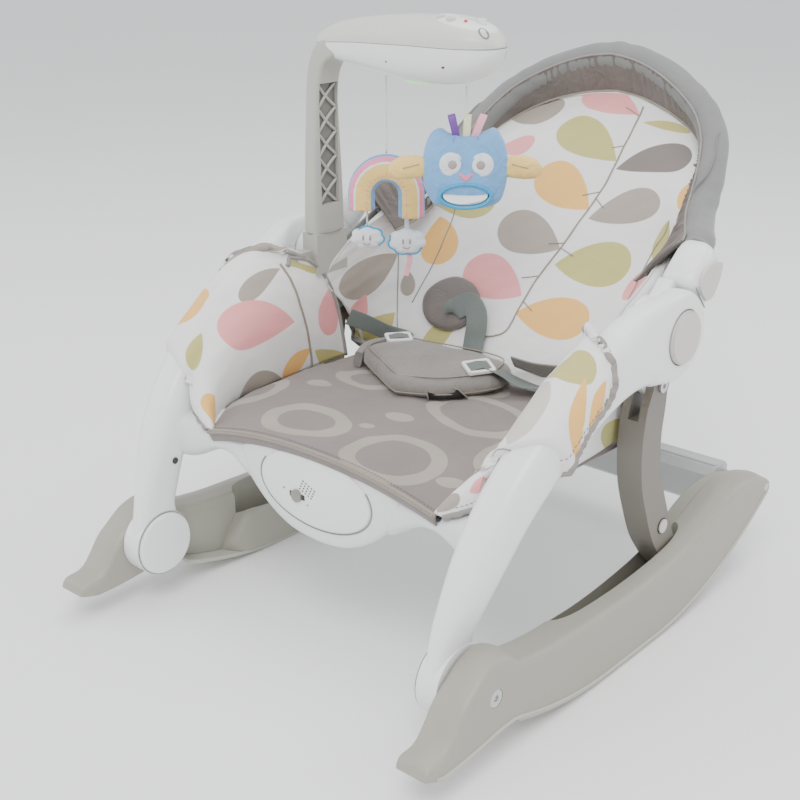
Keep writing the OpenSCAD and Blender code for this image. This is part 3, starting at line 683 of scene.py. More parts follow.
def rings_pattern(m, rings, col2):
    """rings: (cx, cy, outer a, outer b, inner share, angle) in fabric mm."""
    nt = m.node_tree
    uvn = nt.nodes.new("ShaderNodeUVMap")
    uvn.uv_map = "UV"
    sc = nt.nodes.new("ShaderNodeVectorMath")
    sc.operation = "SCALE"
    sc.inputs["Scale"].default_value = 100.0
    nt.links.new(uvn.outputs[0], sc.inputs[0])
    mul = nt.nodes[m["col_socket"]]
    rgb = nt.nodes.new("ShaderNodeRGB")
    rgb.outputs[0].default_value = (*tuple(mul.inputs[0].default_value), 1)
    cur = rgb.outputs[0]
    nz = nt.nodes.new("ShaderNodeTexNoise")
    nz.inputs["Scale"].default_value = 0.02
    nt.links.new(sc.outputs[0], nz.inputs["Vector"])
    for (cx, cy, oa, ob, inner, ang) in rings:
        mp = nt.nodes.new("ShaderNodeMapping")
        mp.vector_type = "TEXTURE"
        mp.inputs["Location"].default_value = (cx, cy, 0)
        mp.inputs["Rotation"].default_value = (0, 0, math.radians(ang))
        mp.inputs["Scale"].default_value = (oa, ob, 1)
        nt.links.new(sc.outputs[0], mp.inputs["Vector"])
        ln = nt.nodes.new("ShaderNodeVectorMath")
        ln.operation = "LENGTH"
        nt.links.new(mp.outputs[0], ln.inputs[0])
        r1 = nt.nodes.new("ShaderNodeMapRange")
        r1.inputs["From Min"].default_value = 1.0
        r1.inputs["From Max"].default_value = 0.985
        nt.links.new(ln.outputs["Value"], r1.inputs["Value"])
        fac = r1.outputs[0]
        if inner > 0:
            r2 = nt.nodes.new("ShaderNodeMapRange")
            r2.inputs["From Min"].default_value = inner - 0.015
            r2.inputs["From Max"].default_value = inner
            nt.links.new(ln.outputs["Value"], r2.inputs["Value"])
            mm = nt.nodes.new("ShaderNodeMath")
            mm.operation = "MULTIPLY"
            nt.links.new(fac, mm.inputs[0])
            nt.links.new(r2.outputs[0], mm.inputs[1])
            fac = mm.outputs[0]
        mx = nt.nodes.new("ShaderNodeMix")
        mx.data_type = "RGBA"
        nt.links.new(fac, mx.inputs[0])
        nt.links.new(cur, mx.inputs[6])
        mx.inputs[7].default_value = (*col2, 1)
        cur = mx.outputs[2]
    nt.links.new(cur, mul.inputs[0])
    return m


PINK, OLIVE, ORANGE, TAUPE, DGREY = (0.86, 0.36, 0.37), (0.52, 0.48, 0.19), (0.86, 0.50, 0.16), (0.38, 0.335, 0.29), (0.22, 0.195, 0.18)
m_rocker = material("rocker_plastic", (0.335, 0.325, 0.275), 0.42, 0.03, 9, 0.12, 1400)
m_bead = material("rocker_bead_plastic", (0.46, 0.45, 0.40), 0.5, 0.03, 9, 0.1, 1400)
m_white = material("white_shell", (0.86, 0.87, 0.88), 0.30, 0.012, 8, 0.05, 900, coat=0.15)
# the white shell plastic made darker for the parts under the seat: painted shade
m_housing = material("white_housing", (0.74, 0.77, 0.755), 0.30, 0.012, 8, 0.05, 900, coat=0.15)
m_panel = material("panel_white", (0.80, 0.83, 0.815), 0.22, 0.01, 8, 0.03, 900, coat=0.25)
# dark grey for seam, slit and groove lines: painted shade in the gaps between parts
m_groove = material("groove", (0.22, 0.23, 0.22), 0.7)
m_bar = material("crossbar_grey_plastic", (0.50, 0.52, 0.52), 0.42, 0.02, 8, 0.08, 1200)
m_leg = material("leg_taupe_plastic", (0.185, 0.17, 0.145), 0.45, 0.04, 8, 0.1, 1200)
m_cap = material("cap_grey_plastic", (0.60, 0.58, 0.54), 0.40, 0.02, 10, 0.06, 1200)
m_post = material("post_grey_plastic", (0.43, 0.43, 0.39), 0.42, 0.02, 9, 0.08, 1200)
# dark grey for the floor of the post recess: painted shade
m_post2 = material("lattice_grey_plastic", (0.20, 0.19, 0.165), 0.5, 0.04, 12, 0.1, 1200)
m_pod = material("pod_cream_plastic", (0.62, 0.62, 0.58), 0.34, 0.015, 8, 0.05, 1200)
m_podw = material("pod_white_plastic", (0.82, 0.83, 0.83), 0.30, 0.01, 8, 0.04, 1200, coat=0.1)
m_lens = material("lamp_lens", (0.62, 0.85, 0.62), 0.35, 0.01, 8, trans=0.5, emit=((0.55, 0.95, 0.5), 0.5))
m_steel = material("zinc_steel", (0.55, 0.55, 0.56), 0.32, 0.06, 40, 0.08, 600, metal=1.0)
m_brass = material("weight_brass", (0.55, 0.44, 0.22), 0.35, 0.06, 40, metal=1.0)
# black moulding for the battery box; the same black is painted shade in gaps and openings
m_black = material("black_moulding", (0.02, 0.02, 0.02), 0.5, 0.1, 20, 0.1)
m_board = material("board", (0.03, 0.16, 0.06), 0.5, 0.1, 60)
m_cell = material("cell_jacket", (0.55, 0.36, 0.10), 0.35, 0.05, 30, metal=0.6)
m_knob = material("knob_olive", (0.24, 0.235, 0.19), 0.35, 0.03, 20, 0.05)
m_dark = material("shadow_line", (0.06, 0.055, 0.05), 0.9)
FABN = dict(bump=0.35, bscale=1500, sheen=0.25, spec=0.25)
m_pan = material("pan_fabric", (0.235, 0.205, 0.195), 0.80, 0.05, 20, wr=0.35, wscale=16, **FABN)
m_printL = material("print_fabric_left", (0.84, 0.835, 0.83), 0.78, 0.015, 20, wr=0.30, wscale=20, **FABN)
m_printR = material("print_fabric_right", (0.84, 0.835, 0.83), 0.78, 0.015, 20, wr=0.30, wscale=20, **FABN)
m_printB = material("print_fabric_back", (0.83, 0.825, 0.82), 0.78, 0.015, 20, wr=0.32, wscale=17, **FABN)
m_rim = material("ruched_fabric", (0.165, 0.142, 0.13), 0.72, 0.10, 35, wr=0.6, wscale=45, bump=0.3, bscale=1500, sheen=0.3, spec=0.3)
m_band = material("band_fabric", (0.215, 0.22, 0.215), 0.62, 0.05, 20, wr=0.35, wscale=25, bump=0.3, bscale=1500, sheen=0.2, spec=0.35)
m_bind = material("binding_fabric", (0.30, 0.28, 0.265), 0.75, 0.06, 40, wr=0.4, wscale=60, bump=0.4, bscale=1500, sheen=0.2, spec=0.25)
m_pipe = material("piping_fabric", (0.30, 0.265, 0.22), 0.8, 0.05, 40, bump=0.3, bscale=1800)
m_stitch = material("stitch_thread", (0.20, 0.18, 0.17), 0.8)
m_harn = material("harness_fabric", (0.24, 0.225, 0.21), 0.72, 0.06, 25, wr=0.55, wscale=38, bump=0.3, bscale=1500, sheen=0.3, spec=0.3)
m_harnd = material("round_pad_fabric", (0.17, 0.15, 0.14), 0.75, 0.06, 25, wr=0.5, wscale=40, bump=0.3, bscale=1500, sheen=0.3, spec=0.3)
m_web = material("webbing", (0.155, 0.18, 0.17), 0.7, 0.05, 30, bump=0.8, bscale=700, sheen=0.1, spec=0.3)
m_buck = material("buckle_grey", (0.20, 0.215, 0.21), 0.35, 0.03, 20, 0.05)
m_buckw = material("buckle_white", (0.80, 0.80, 0.80), 0.3, 0.01, 20, 0.05)
m_tube = material("powder_coated_tube", (0.80, 0.80, 0.80), 0.28, 0.01, 10, coat=0.2)
m_tblue = material("plush_blue", (0.19, 0.42, 0.74), 0.75, 0.06, 40, wr=0.5, wscale=70, bump=0.5, bscale=1500, sheen=0.5, spec=0.25)
m_tdblue = material("plush_dark_blue", (0.10, 0.26, 0.50), 0.75, 0.06, 40, wr=0.5, wscale=70, bump=0.5, bscale=1500, sheen=0.4, spec=0.25)
m_tyel = material("plush_yellow", (0.90, 0.64, 0.22), 0.8, 0.05, 40, wr=0.5, wscale=70, bump=0.5, bscale=1500, sheen=0.5, spec=0.25)
m_tpink = material("plush_pink", (0.83, 0.28, 0.42), 0.78, 0.05, 40, wr=0.4, wscale=70, bump=0.5, bscale=1500, sheen=0.4, spec=0.25)
m_torange = material("plush_orange", (0.90, 0.52, 0.20), 0.78, 0.05, 40, wr=0.4, wscale=70, bump=0.5, bscale=1500, sheen=0.4, spec=0.25)
m_twhite = material("plush_white", (0.80, 0.83, 0.86), 0.8, 0.03, 40, wr=0.5, wscale=70, bump=0.4, bscale=1500, sheen=0.4, spec=0.25)
m_tgrey = material("felt_grey", (0.40, 0.33, 0.32), 0.85, 0.04, 60, bump=0.3, bscale=1500)
m_cyan = material("trim_cyan", (0.02, 0.34, 0.62), 0.55, 0.04, 60, bump=0.4, bscale=900, sheen=0.2)
m_purple = material("ribbon_purple", (0.16, 0.05, 0.33), 0.45, 0.05, 60, bump=0.2, bscale=900)
m_cream = material("ribbon_cream", (0.74, 0.75, 0.48), 0.5, 0.04, 60, bump=0.2, bscale=900)
m_rpink = material("ribbon_pink", (0.88, 0.42, 0.50), 0.5, 0.04, 60, bump=0.2, bscale=900)
m_mirror = material("mirror_film", (0.80, 0.81, 0.82), 0.10, 0.02, 30, metal=1.0)
m_cord = material("cord_white", (0.75, 0.75, 0.74), 0.7, 0.03, 60, bump=0.5, bscale=1500)
m_red = material("lamp_red", (0.7, 0.05, 0.04), 0.3)


def paint(names, mat, bevel=0.0, slot=None):
    for nm in names:
        o = N[nm]
        o.data.materials.clear()
        o.data.materials.append(mat)
        if bevel:
            md = o.modifiers.new("bev", "BEVEL")
            md.width = bevel * 0.001
            md.segments = 2
            md.limit_method = "ANGLE"
            md.angle_limit = math.radians(40)


# ================= rockers =================
F0, F1, RFR, RBK = -55.0, 25.0, 416.0, 329.0


def runner(y):
    return (y - F0) ** 2 / (2 * RFR) if y < F0 else ((y - F1) ** 2 / (2 * RBK) if y > F1 else 0.0)


TOP = cr([[-323, 33], [-318, 41], [-299, 45], [-285, 60], [-275, 74], [-262, 84], [-247, 95], [-227, 101], [-211, 96], [-196, 85], [-150, 77], [-95, 74], [-30, 72], [25, 74], [75, 80], [123, 93], [173, 110], [210, 109], [240, 101], [257, 90]], 3)
POCK = cr([[-126, 20], [-122, 44], [-105, 54], [-51, 52], [7, 54], [73, 62], [110, 78], [160, 98], [210, 101], [240, 94], [256, 88]], 3)
TOE = np.array([[-323, 31], [-303, 26], [-282, 26], [-256, 28], [-227, 31], [-208, 31]], float)


def zbot(y):
    if y < -206:
        return float(np.interp(y, TOE[:, 0], TOE[:, 1]))
    if y < -196:
        return 31 + (runner(-196) + 4 - 31) * (y + 206) / 10
    return runner(y) + 4


def rocker(sg, name):
    ys_ = np.r_[-322.6, -321, -318, np.arange(-314, 252, 6), 252, 255, 256.6]
    R = []
    for y in ys_:
        zb, zt = zbot(y), float(np.interp(y, TOP[:, 0], TOP[:, 1]))
        if zt - zb < 1.2:
            zt = zb + 1.2
        e0 = min(1, max(0, (256.9 - y) / 5.0)) ** 0.5
        e1 = min(1, max(0, (y + 323.2) / 9.0)) ** 0.5
        e = e0 * e1
        xo = 222 + 18 * (0.80 + 0.20 * e)
        xi = 222 - 18 * (0.80 + 0.20 * e)
        r = min(8.5, (zt - zb) * 0.45)
        b = min(1, max(0, (y + 137) / 26.0))
        b = math.sqrt(max(0, 1 - (1 - b) ** 2))
        zp = float(np.interp(y, POCK[:, 0], POCK[:, 1])) if y > -126 else 44 * b + zb * (1 - b)
        zp = min(zp, zt - 0.8 * r)
        zp = max(zp, zb + 0.5)
        xb = xi - (xi - 185) * b
        rb = min(9, (zp - zb) * 0.5, (xi - xb) * 0.8 + 0.01)
        P = []
        P.append((xo - 0.6, zb))
        P.append((xo, zb + 0.6))
        for k in range(7):
            a = k / 6 * math.pi / 2
            P.append((xo - r + r * math.cos(a), zt - r + r * math.sin(a) - 0.5 * k / 6 * 0))
        for k in range(1, 6):
            u = k / 6
            P.append((xo - r + (xi + r - xo + r) * u, zt + 1.6 * math.sin(math.pi * u)))
        for k in range(7):
            a = math.pi / 2 + k / 6 * math.pi / 2
            P.append((xi + r + r * math.cos(a), zt - r + r * math.sin(a)))
        P.append((xi, (zp + zt - r) / 2 if zt - r > zp else zp + 0.1))
        P.append((xi - 0.4 * b, zp + 1.0 * b))
        P.append((xi - (xi - xb - rb) * 0.5, zp))
        for k in range(6):
            a = math.pi / 2 + k / 5 * math.pi / 2
            P.append((xb + rb + rb * math.cos(a), zp - rb + rb * math.sin(a)))
        P.append((xb, zb + 0.6))
        P.append((xb + 0.6, zb))
        R.append([(x, y, z) for x, z in P])
    R = np.array(R, float)
    o = loft(name, R, m_rocker)
    V = []
    yy = np.r_[np.arange(-118, 108, 6), 108]
    n = len(yy)
    ring = []
    for y in yy:
        e = math.sqrt(max(0.0, 1 - (abs(y + 5) / 113.5) ** 8))
        ring.append([(205 - 16.3 * e, y, runner(y) + 8), (205 + 16.3 * e, y, runner(y) + 8), (205 + 16.3 * e, y, 150), (205 - 16.3 * e, y, 150)])
    c = loft("cut", ring, m_rocker)
    cutb(o, c)
    for args in (((196, -235, 66), (246, -235, 66), 4.05), ((236.8, -235, 66), (246, -235, 66), 8.4), ((180, 247, 86), (246, 247, 86), 2.6), ((237.4, 247, 86), (246, 247, 86), 5.4)):
        cutb(o, cylm("cut", *args, m_rocker))
    if sg < 0:
        o.data.transform(__import__("mathutils").Matrix.Scale(-1, 4, (1, 0, 0)))
        o.data.flip_normals()
    shade_auto(o, 38)
    md = o.modifiers.new("w", "WEIGHTED_NORMAL")
    md.keep_sharp = True
    bake(o)
    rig.ride(o, "base")
    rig.replaces(o, "rocker_right" if sg > 0 else "rocker_left")
    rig.slot(o, "rocker")
    return o


rocker(1, "rocker_shell_right")
rocker(-1, "rocker_shell_left")
paint(["rocker_sole_right", "rocker_sole_left"], m_bead, 1.0)
# thin light bead along the lower edge of each rail
for sg in (1, -1):
    P = [(sg * 240.0, y, zbot(y) + 1.4) for y in np.arange(-312, 250, 8)]
    o = tube("bead_" + ("right" if sg > 0 else "left"), P, 1.7, m_bead, n=8)
    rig.ride(o, "base")
    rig.slot(o, "rocker_bead")
paint(["rear_crossbar"], m_bar, 2.2)
paint(["crossbar_screws", "hub_pivot_bolts"], m_steel, 0.4)
paint(["front_hub_right", "front_hub_left"], m_white, 1.5)
paint(["leg_pins", "recline_pins", "button_springs", "vibration_motor"], m_steel, 0.2)
paint(["rear_leg_right", "rear_leg_left"], m_leg, 2.2)
paint(["leg_brackets"], m_white, 1.2)
paint(["leg_button_right", "leg_button_left", "recline_button_right", "recline_button_left"], m_cap, 1.0)
paint(["eccentric_weight"], m_brass, 0.2)
paint(["battery_box"], m_black, 0.5)
paint(["battery"], m_cell, 0.8)
# battery door in the darker white: painted shade
paint(["battery_door"], m_housing, 0.6)
paint(["circuit_board", "pod_board"], m_board, 0.0)
paint(["switch_knob"], m_knob, 1.4)
paint(["toy_socket"], m_post, 2.5)
paint(["back_tube"], m_tube, 0.0)
paint(["neck_caps"], m_cap, 1.2)
paint(["pod_button_a", "pod_button_b", "pod_button_c"], m_podw, 0.6)

# crossbar ridge along the top
o = boxm("crossbar_ridge", (-183, 238.5, 94.0), (183, 246.5, 98.6), m_bar, 1.6)
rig.ride(o, "base")
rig.slot(o, "crossbar_grey")


# ================= legs, arms and hubs =================
ARM = [(-237, 46, 191.5, 21, 52), (-237, 58, 191.5, 21, 62), (-237, 72, 191.5, 21, 62), (-237, 92, 191.5, 21.5, 50), (-235, 108, 192.5, 23, 45), (-230, 124, 194.5, 27, 45), (-213, 166, 201, 37, 47), (-189, 205, 206, 41, 48), (-156, 240, 211, 42, 50), (-116, 268, 215, 42, 51), (-76, 290, 218, 42, 55), (-48, 302, 220.5, 41, 62), (-28, 307.5, 222.5, 39, 69), (-12, 310.5, 226.5, 32.5, 75), (4, 312, 231, 24.2, 80), (18, 312, 231, 24.2, 83.6), (32, 312, 231, 24.2, 83.2), (46, 312, 231, 24, 76), (57, 312, 230.8, 23.6, 61), (64, 312, 230.6, 22.6, 44), (68.5, 312, 230.4, 20, 24), (70.4, 312, 230.2, 14, 8)]


def arm(sg, name):
    S = cr(ARM, 3)
    P = np.stack([np.zeros(len(S)), S[:, 0], S[:, 1]], 1)
    t = np.gradient(P, axis=0)
    t /= np.linalg.norm(t, axis=1)[:, None]
    R = []
    for i, s in enumerate(S):
        n = np.array([0, t[i, 2], -t[i, 1]])
        if s[0] < -230 and s[1] < 100:
            n = np.array([0, 1.0, 0]) * math.copysign(1, n[1] or 1)
        e = 3.0 if s[0] < -20 else 4.6
        R.append(superring((s[2], s[0], s[1]), (s[3] / 2, 0, 0), n * s[4] / 2, e, 40))
    o = loft(name, R, m_white)
    cutb(o, cylm("cut", (170, -235, 66), (205.2, -235, 66), 34.2, m_white, 64))
    cutb(o, cylm("cut", (190, 28, 312), (219, 28, 312), 33, m_white, 64))
    cutb(o, cylm("cut", (233, 28, 312), (250, 28, 312), 25.6, m_groove, 64))
    if sg < 0:
        o.data.transform(__import__("mathutils").Matrix.Scale(-1, 4, (1, 0, 0)))
        o.data.flip_normals()
    shade_auto(o, 42)
    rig.ride(o, "side_frame")
    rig.replaces(o, "side_frame_right" if sg > 0 else "side_frame_left", "main_hub_right" if sg > 0 else "main_hub_left")
    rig.slot(o, "white_plastic")
    sd = "right" if sg > 0 else "left"
    # outer face over the front pivot, with its seam
    dd = cylm("pivot_disc_" + sd, (sg * 180.2, -235, 66), (sg * 177.4, -235, 66), 31.5, m_white, 64, bev=1.6)
    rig.ride(dd, "side_frame")
    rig.slot(dd, "white_plastic")
    # dark seam line round the pivot disc: painted shade in the gap
    g = tube("pivot_seam_" + sd, [(sg * 180.4, -235 + 33.0 * math.cos(a), 66 + 33.0 * math.sin(a)) for a in np.linspace(0, 2 * math.pi, 60)], 0.55, m_groove, n=6, up=(1, 0, 0), caps=False)
    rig.ride(g, "side_frame")
    # screw recess on the leg's inner face
    sc = cylm("leg_screw_" + sd, (sg * 181.8, -214, 150), (sg * 180.8, -214, 150), 3.4, m_dark, 20)
    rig.ride(sc, "side_frame")
    return o


arm(1, "side_shell_right")
arm(-1, "side_shell_left")


def neck(sg, name):
    R = []
    for s, x0, x1, h in ((42.6, 206, 229, 13), (43.4, 203, 233, 18), (45.2, 201, 236.2, 20.6), (49, 200.2, 237.4, 21.8), (62, 200.2, 237.6, 22.2), (78, 200.4, 237.2, 21.8), (86, 200.8, 235.4, 20), (91, 201.6, 232, 17.4), (94, 203, 227, 14.6), (95.6, 205.5, 222, 11)):
        c = bp((x0 + x1) / 2, s)
        hv = np.array([0, -math.sin(A40), math.cos(A40)])
        R.append(superring(c, ((x1 - x0) / 2, 0, 0), hv * h, 4.0, 40))
    o = loft(name, R, m_white)
    R = []
    for s in (0, 20, 44):
        hv = np.array([0, -math.sin(A40), math.cos(A40)])
        R.append(superring(bp(209.2, s), (9.0, 0, 0), hv * 20.3, 8, 24))
    w = loft("web", R, m_white)
    d = cylm("disc", (200.2, 28, 312), (218.2, 28, 312), 30.8, m_white, 64, bev=1.5)
    o = join(name, [o, w, d])
    if sg < 0:
        o.data.transform(__import__("mathutils").Matrix.Scale(-1, 4, (1, 0, 0)))
        o.data.flip_normals()
    shade_auto(o, 42)
    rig.ride(o, "backrest")
    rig.replaces(o, "back_neck_right" if sg > 0 else "back_neck_left")
    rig.slot(o, "white_plastic")


neck(1, "neck_shell_right")
neck(-1, "neck_shell_left")
for sg, sd in ((1, "right"), (-1, "left")):
    # dark slit line on the neck: painted shade
    P = [bp(sg * 238.0, 43.6 + 0.4 * abs(h) / 10, h) for h in np.linspace(-15, 15, 16)]
    g = tube("neck_slit_" + sd, P, 0.7, m_groove, n=6, up=(1, 0, 0))
    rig.ride(g, "backrest")
    # dark ring round the leg button: painted shade in its gap
    for nm, y, z, r, x in (("leg_button_ring_", 61, 104, 7.6, 218.8),):
        g = tube(nm + sd, [(sg * x, y + r * math.cos(a), z + r * math.sin(a)) for a in np.linspace(0, 2 * math.pi, 40)], 0.6, m_black, n=6, up=(1, 0, 0), caps=False)
        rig.ride(g, "rear_leg_" + sd)
    # dark ring round the hub cap: painted shade in its groove
    g = tube("cap_ring_" + sd, [(sg * 243.0, 28 + 25.7 * math.cos(a), 312 + 25.7 * math.sin(a)) for a in np.linspace(0, 2 * math.pi, 60)], 0.5, m_groove, n=6, up=(1, 0, 0), caps=False)
    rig.ride(g, "side_frame")

# ================= cross beam and vibration unit =================
# seat beam and board in the darker white: painted shade under the seat
R = []
BM = [(-188, -206, -140, 146, 196), (-176, -204, -142, 148, 195), (-160, -198, -148, 156, 191), (-142, -195, -152, 164, 188), (-124, -195, -153, 165, 187.5), (-108, -197, -152, 158, 188.5), (-92, -198, -154, 148, 191), (-76, -197, -158, 142, 192), (-35, -195, -158, 134, 193), (0, -195, -158, 132, 193.5)]
BM = BM + [(-x, a, b, c, d) for x, a, b, c, d in BM[:-1][::-1]]
for x, y0, y1, z0, z1 in cr(BM, 4):
    R.append(superring((x, (y0 + y1) / 2, (z0 + z1) / 2), (0, (y1 - y0) / 2, 0), (0, 0, (z1 - z0) / 2), 3.0, 32))
beam = loft("seat_beam", R, m_housing)
shade_auto(beam, 60)
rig.ride(beam, "side_frame")
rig.slot(beam, "white_plastic")
brd = boxm("seat_board", (-150, -152, 174), (150, 30, 178), m_housing, 1.0)
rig.ride(brd, "side_frame")
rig.replaces(brd, "seat_frame")
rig.slot(brd, "white_plastic")

HO = [(-101, 186), (-101, 172), (-93, 158), (-82, 146), (-67, 133.5), (-50, 123.5), (-30, 116.5), (0, 113.6), (30, 116.5), (50, 123.5), (67, 133.5), (82, 146), (93, 158), (101, 172), (101, 186), (86, 192), (60, 197), (28, 200), (0, 200.8), (-28, 200), (-60, 197), (-86, 192)]
ho = cr(HO + [HO[0]], 5)[:-1]
cen = np.array([0, 160.0])
rings_ = []
for sc_, y in ((0.90, -101), (0.955, -104), (0.975, -120), (0.985, -150), (0.995, -182), (1.0, -190), (0.992, -194.4), (0.972, -197), (0.93, -198.3), (0.80, -199.0), (0.5, -199.3), (0.15, -199.4)):
    q = cen + (ho - cen) * sc_
    if y > -150:
        q = np.stack([q[:, 0], np.minimum(q[:, 1], 158)], 1)
    elif y > -189:
        q = np.stack([q[:, 0], np.minimum(q[:, 1], 192)], 1)
    rings_.append([(a, y, b) for a, b in q])
# front housing in the darker white: painted shade under the seat
hs_ = loft("housing_shell", rings_, m_housing)
shade_auto(hs_, 50)
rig.ride(hs_, "side_frame")
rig.replaces(hs_, "front_housing")
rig.slot(hs_, "white_plastic")

rings_ = []
aa = np.linspace(0, 2 * math.pi, 96, endpoint=False)
for sc_, y in ((1.0, -198.4), (1.0, -199.9), (0.992, -200.5), (0.975, -200.9), (0.9, -201.6), (0.75, -202.4), (0.5, -203.0), (0.2, -203.3), (0.02, -203.3)):
    ring = []
    for a in aa:
        x, z = 69.5 * math.cos(a), 37.0 * math.sin(a)
        zc = 167 + z
        zl = 197.5 - 0.0011 * x * x
        zc = min(zc, zl)
        ring.append((x * sc_, y, 167 + (zc - 167) * sc_))
    rings_.append(ring)
fp = loft("face_panel_shell", rings_, m_panel)
shade_auto(fp, 50)
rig.ride(fp, "side_frame")
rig.replaces(fp, "face_panel")
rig.slot(fp, "white_plastic")
# dark groove line round the face panel: painted shade
g = tube("face_panel_groove", [(71.0 * math.cos(a), -199.2, 167 + 38.4 * math.sin(a)) for a in np.linspace(math.radians(-206), math.radians(26), 90)], 0.75, m_groove, n=8, up=(0, 1, 0))
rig.ride(g, "side_frame")
# slot under the knob, sound holes and two marks
sl = boxm("knob_slot", (-29, -203.5, 155.2), (-9, -202.4, 160.8), m_dark, 0.3, 1)
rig.ride(sl, "side_frame")
holes = []
for i in range(5):
    for j in range(4):
        x, z = -15 + i * 3.6 + j * 1.5, 166.5 + j * 2.9 - i * 1.5
        holes.append(cylm("h", (x, -203.2, z), (x, -203.55, z), 0.85, m_dark, 10))
hj = join("sound_holes", holes)
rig.ride(hj, "side_frame")
for x, z, nm in ((-36.5, 161, "a"), (-5.5, 152, "b")):
    q = cylm("mark_" + nm, (x, -202.6, z), (x, -203.4, z), 1.0, m_knob, 12)
    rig.ride(q, "side_frame")
# black boxes in the gaps of the frame: painted shade
for sg, sd in ((1, "right"), (-1, "left")):
    q = boxm("frame_gap_" + sd, (min(sg * 128, sg * 146), -197.5, 181.5), (max(sg * 128, sg * 146), -190, 186.5), m_black, 1.0)
    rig.ride(q, "side_frame")
m_floor = material("floor_pale", (0.93, 0.935, 0.94), 0.75, 0.01, 2)


# ================= soft pieces: helpers =================
def gnorm(G, ref):
    du = np.gradient(G, axis=1)
    dv = np.gradient(G, axis=0)
    n = np.cross(du, dv)
    n /= np.linalg.norm(n, axis=2)[..., None] + 1e-9
    if (n @ np.asarray(ref, float)).mean() < 0:
        n = -n
    return n


def taper(m, n, full, edge, a=0.12, b=0.12):
    i = np.minimum(np.linspace(0, 1, m), 1 - np.linspace(0, 1, m))[:, None] / a
    j = np.minimum(np.linspace(0, 1, n), 1 - np.linspace(0, 1, n))[None, :] / b
    k = np.sin(np.clip(np.minimum(i, j), 0, 1) * np.pi / 2)
    return edge + (full - edge) * k


def cushion(name, G, th, mat, UV, ref, raise_=0.0):
    """closed pad: G is its face, th its thickness behind the face"""
    n_ = gnorm(G, ref)
    Gt = G + n_ * raise_
    Gb = G - n_ * th[..., None]
    m, n = G.shape[:2]
    k = m * n
    V = np.vstack([Gt.reshape(-1, 3), Gb.reshape(-1, 3)])
    F = []
    for i in range(m - 1):
        for j in range(n - 1):
            a, b, c, d = i * n + j, i * n + j + 1, (i + 1) * n + j + 1, (i + 1) * n + j
            F.append((a, b, c, d))
            F.append((k + a, k + d, k + c, k + b))
    loop = [j for j in range(n)] + [i * n + n - 1 for i in range(1, m)] + [(m - 1) * n + j for j in range(n - 2, -1, -1)] + [i * n for i in range(m - 2, 0, -1)]
    for q in range(len(loop)):
        a, b = loop[q], loop[(q + 1) % len(loop)]
        F.append((a, k + a, k + b, b))
    uv = np.vstack([UV.reshape(-1, 2), UV.reshape(-1, 2)])
    return fixn(mesh(name, V, F, mat, uv)), n_


def onuv(G, UV, pts, lift=None, nrm=None):
    out = []
    vm = UV[:, UV.shape[1] // 2, 1]
    for u, v in pts:
        r = float(np.interp(v, vm, np.arange(len(vm))))
        i = min(int(r), len(vm) - 2)
        f = r - i
        p = []
        for ii in (i, i + 1):
            q = np.array([np.interp(u, UV[ii, :, 0], G[ii, :, k]) for k in range(3)])
            if lift:
                nn = np.array([np.interp(u, UV[ii, :, 0], nrm[ii, :, k]) for k in range(3)])
                q = q + nn * lift
            p.append(q)
        out.append(p[0] * (1 - f) + p[1] * f)
    return np.array(out)


def strap(name, P, width, wdir, mat, t=1.6, n=8, steps=6):
    P = cr(P, steps)
    W = np.asarray(wdir, float)
    W = cr(W, steps) if W.ndim == 2 else np.repeat(W[None], len(P), 0)
    tg = np.gradient(P, axis=0)
    tg /= np.linalg.norm(tg, axis=1)[:, None]
    R = []
    for p, w_, t_ in zip(P, W, tg):
        w_ = w_ - t_ * np.dot(w_, t_)
        w_ = w_ / np.linalg.norm(w_)
        nn = np.cross(t_, w_)
        R.append(superring(p, w_ * width / 2, nn * t / 2, 5.0, 20))
    o = loft(name, R, mat)
    shade_auto(o, 60)
    return o


def stitches(name, P, mat, n_, L=2.6, gap=1.9, r=0.35):
    """short raised stitches along P"""
    P = np.asarray(P, float)
    d = np.r_[0, np.cumsum(np.linalg.norm(np.diff(P, axis=0), axis=1))]
    out = []
    s = 0.8
    while s + L < d[-1]:
        q = [[np.interp(x, d, P[:, k]) for k in range(3)] for x in (s, s + L / 2, s + L)]
        q[1] = [q[1][k] + n_[k] * 0.25 for k in range(3)]
        out.append(tube("st", q, r, mat, n=5))
        s += L + gap
    return join(name, out)


# ================= seat pan =================
G = pan_grid(96, 80)
UV = G[..., :2].copy()
rings_pattern(m_pan, [(-60, -148, 50, 38, 0.64, 0), (62, -160, 52, 47, 0.70, 0), (-88, -20, 44, 27, 0.60, 10), (60, -28, 66, 44, 0.74, -12), (-166, -118, 30, 44, 0.6, 0), (146, -84, 34, 50, 0.62, 0), (-122, -66, 16, 9, 0, 0), (6, -86, 17, 9, 0, 0), (128, -160, 13, 8, 0, 20), (-6, -120, 9, 6, 0, 0), (0, 36, 46, 24, 0.6, 0)], (0.36, 0.33, 0.29))
pan, pn = cushion("pan_pad", G, taper(80, 96, 15, 3, 0.08, 0.07), m_pan, UV, (0, 0, 1))
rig.ride(pan, "side_frame")
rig.replaces(pan, "seat_pad")
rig.padded(pan, 0.55)
xs = np.linspace(-144, 144, 90)
E = np.array([(x, pan_edge(x)[0] - 0.6, pan_edge(x)[1] - 1.8) for x in xs])
pp = tube("pan_piping", E, 2.6, m_pipe, n=12)
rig.ride(pp, "side_frame")
j1 = stitches("pan_stitch_a", [(x, pan_edge(x)[0] - 2.7, pan_edge(x)[1] - 0.4) for x in xs], m_stitch, (0, -1, 0), 2.2, 1.6, 0.38)
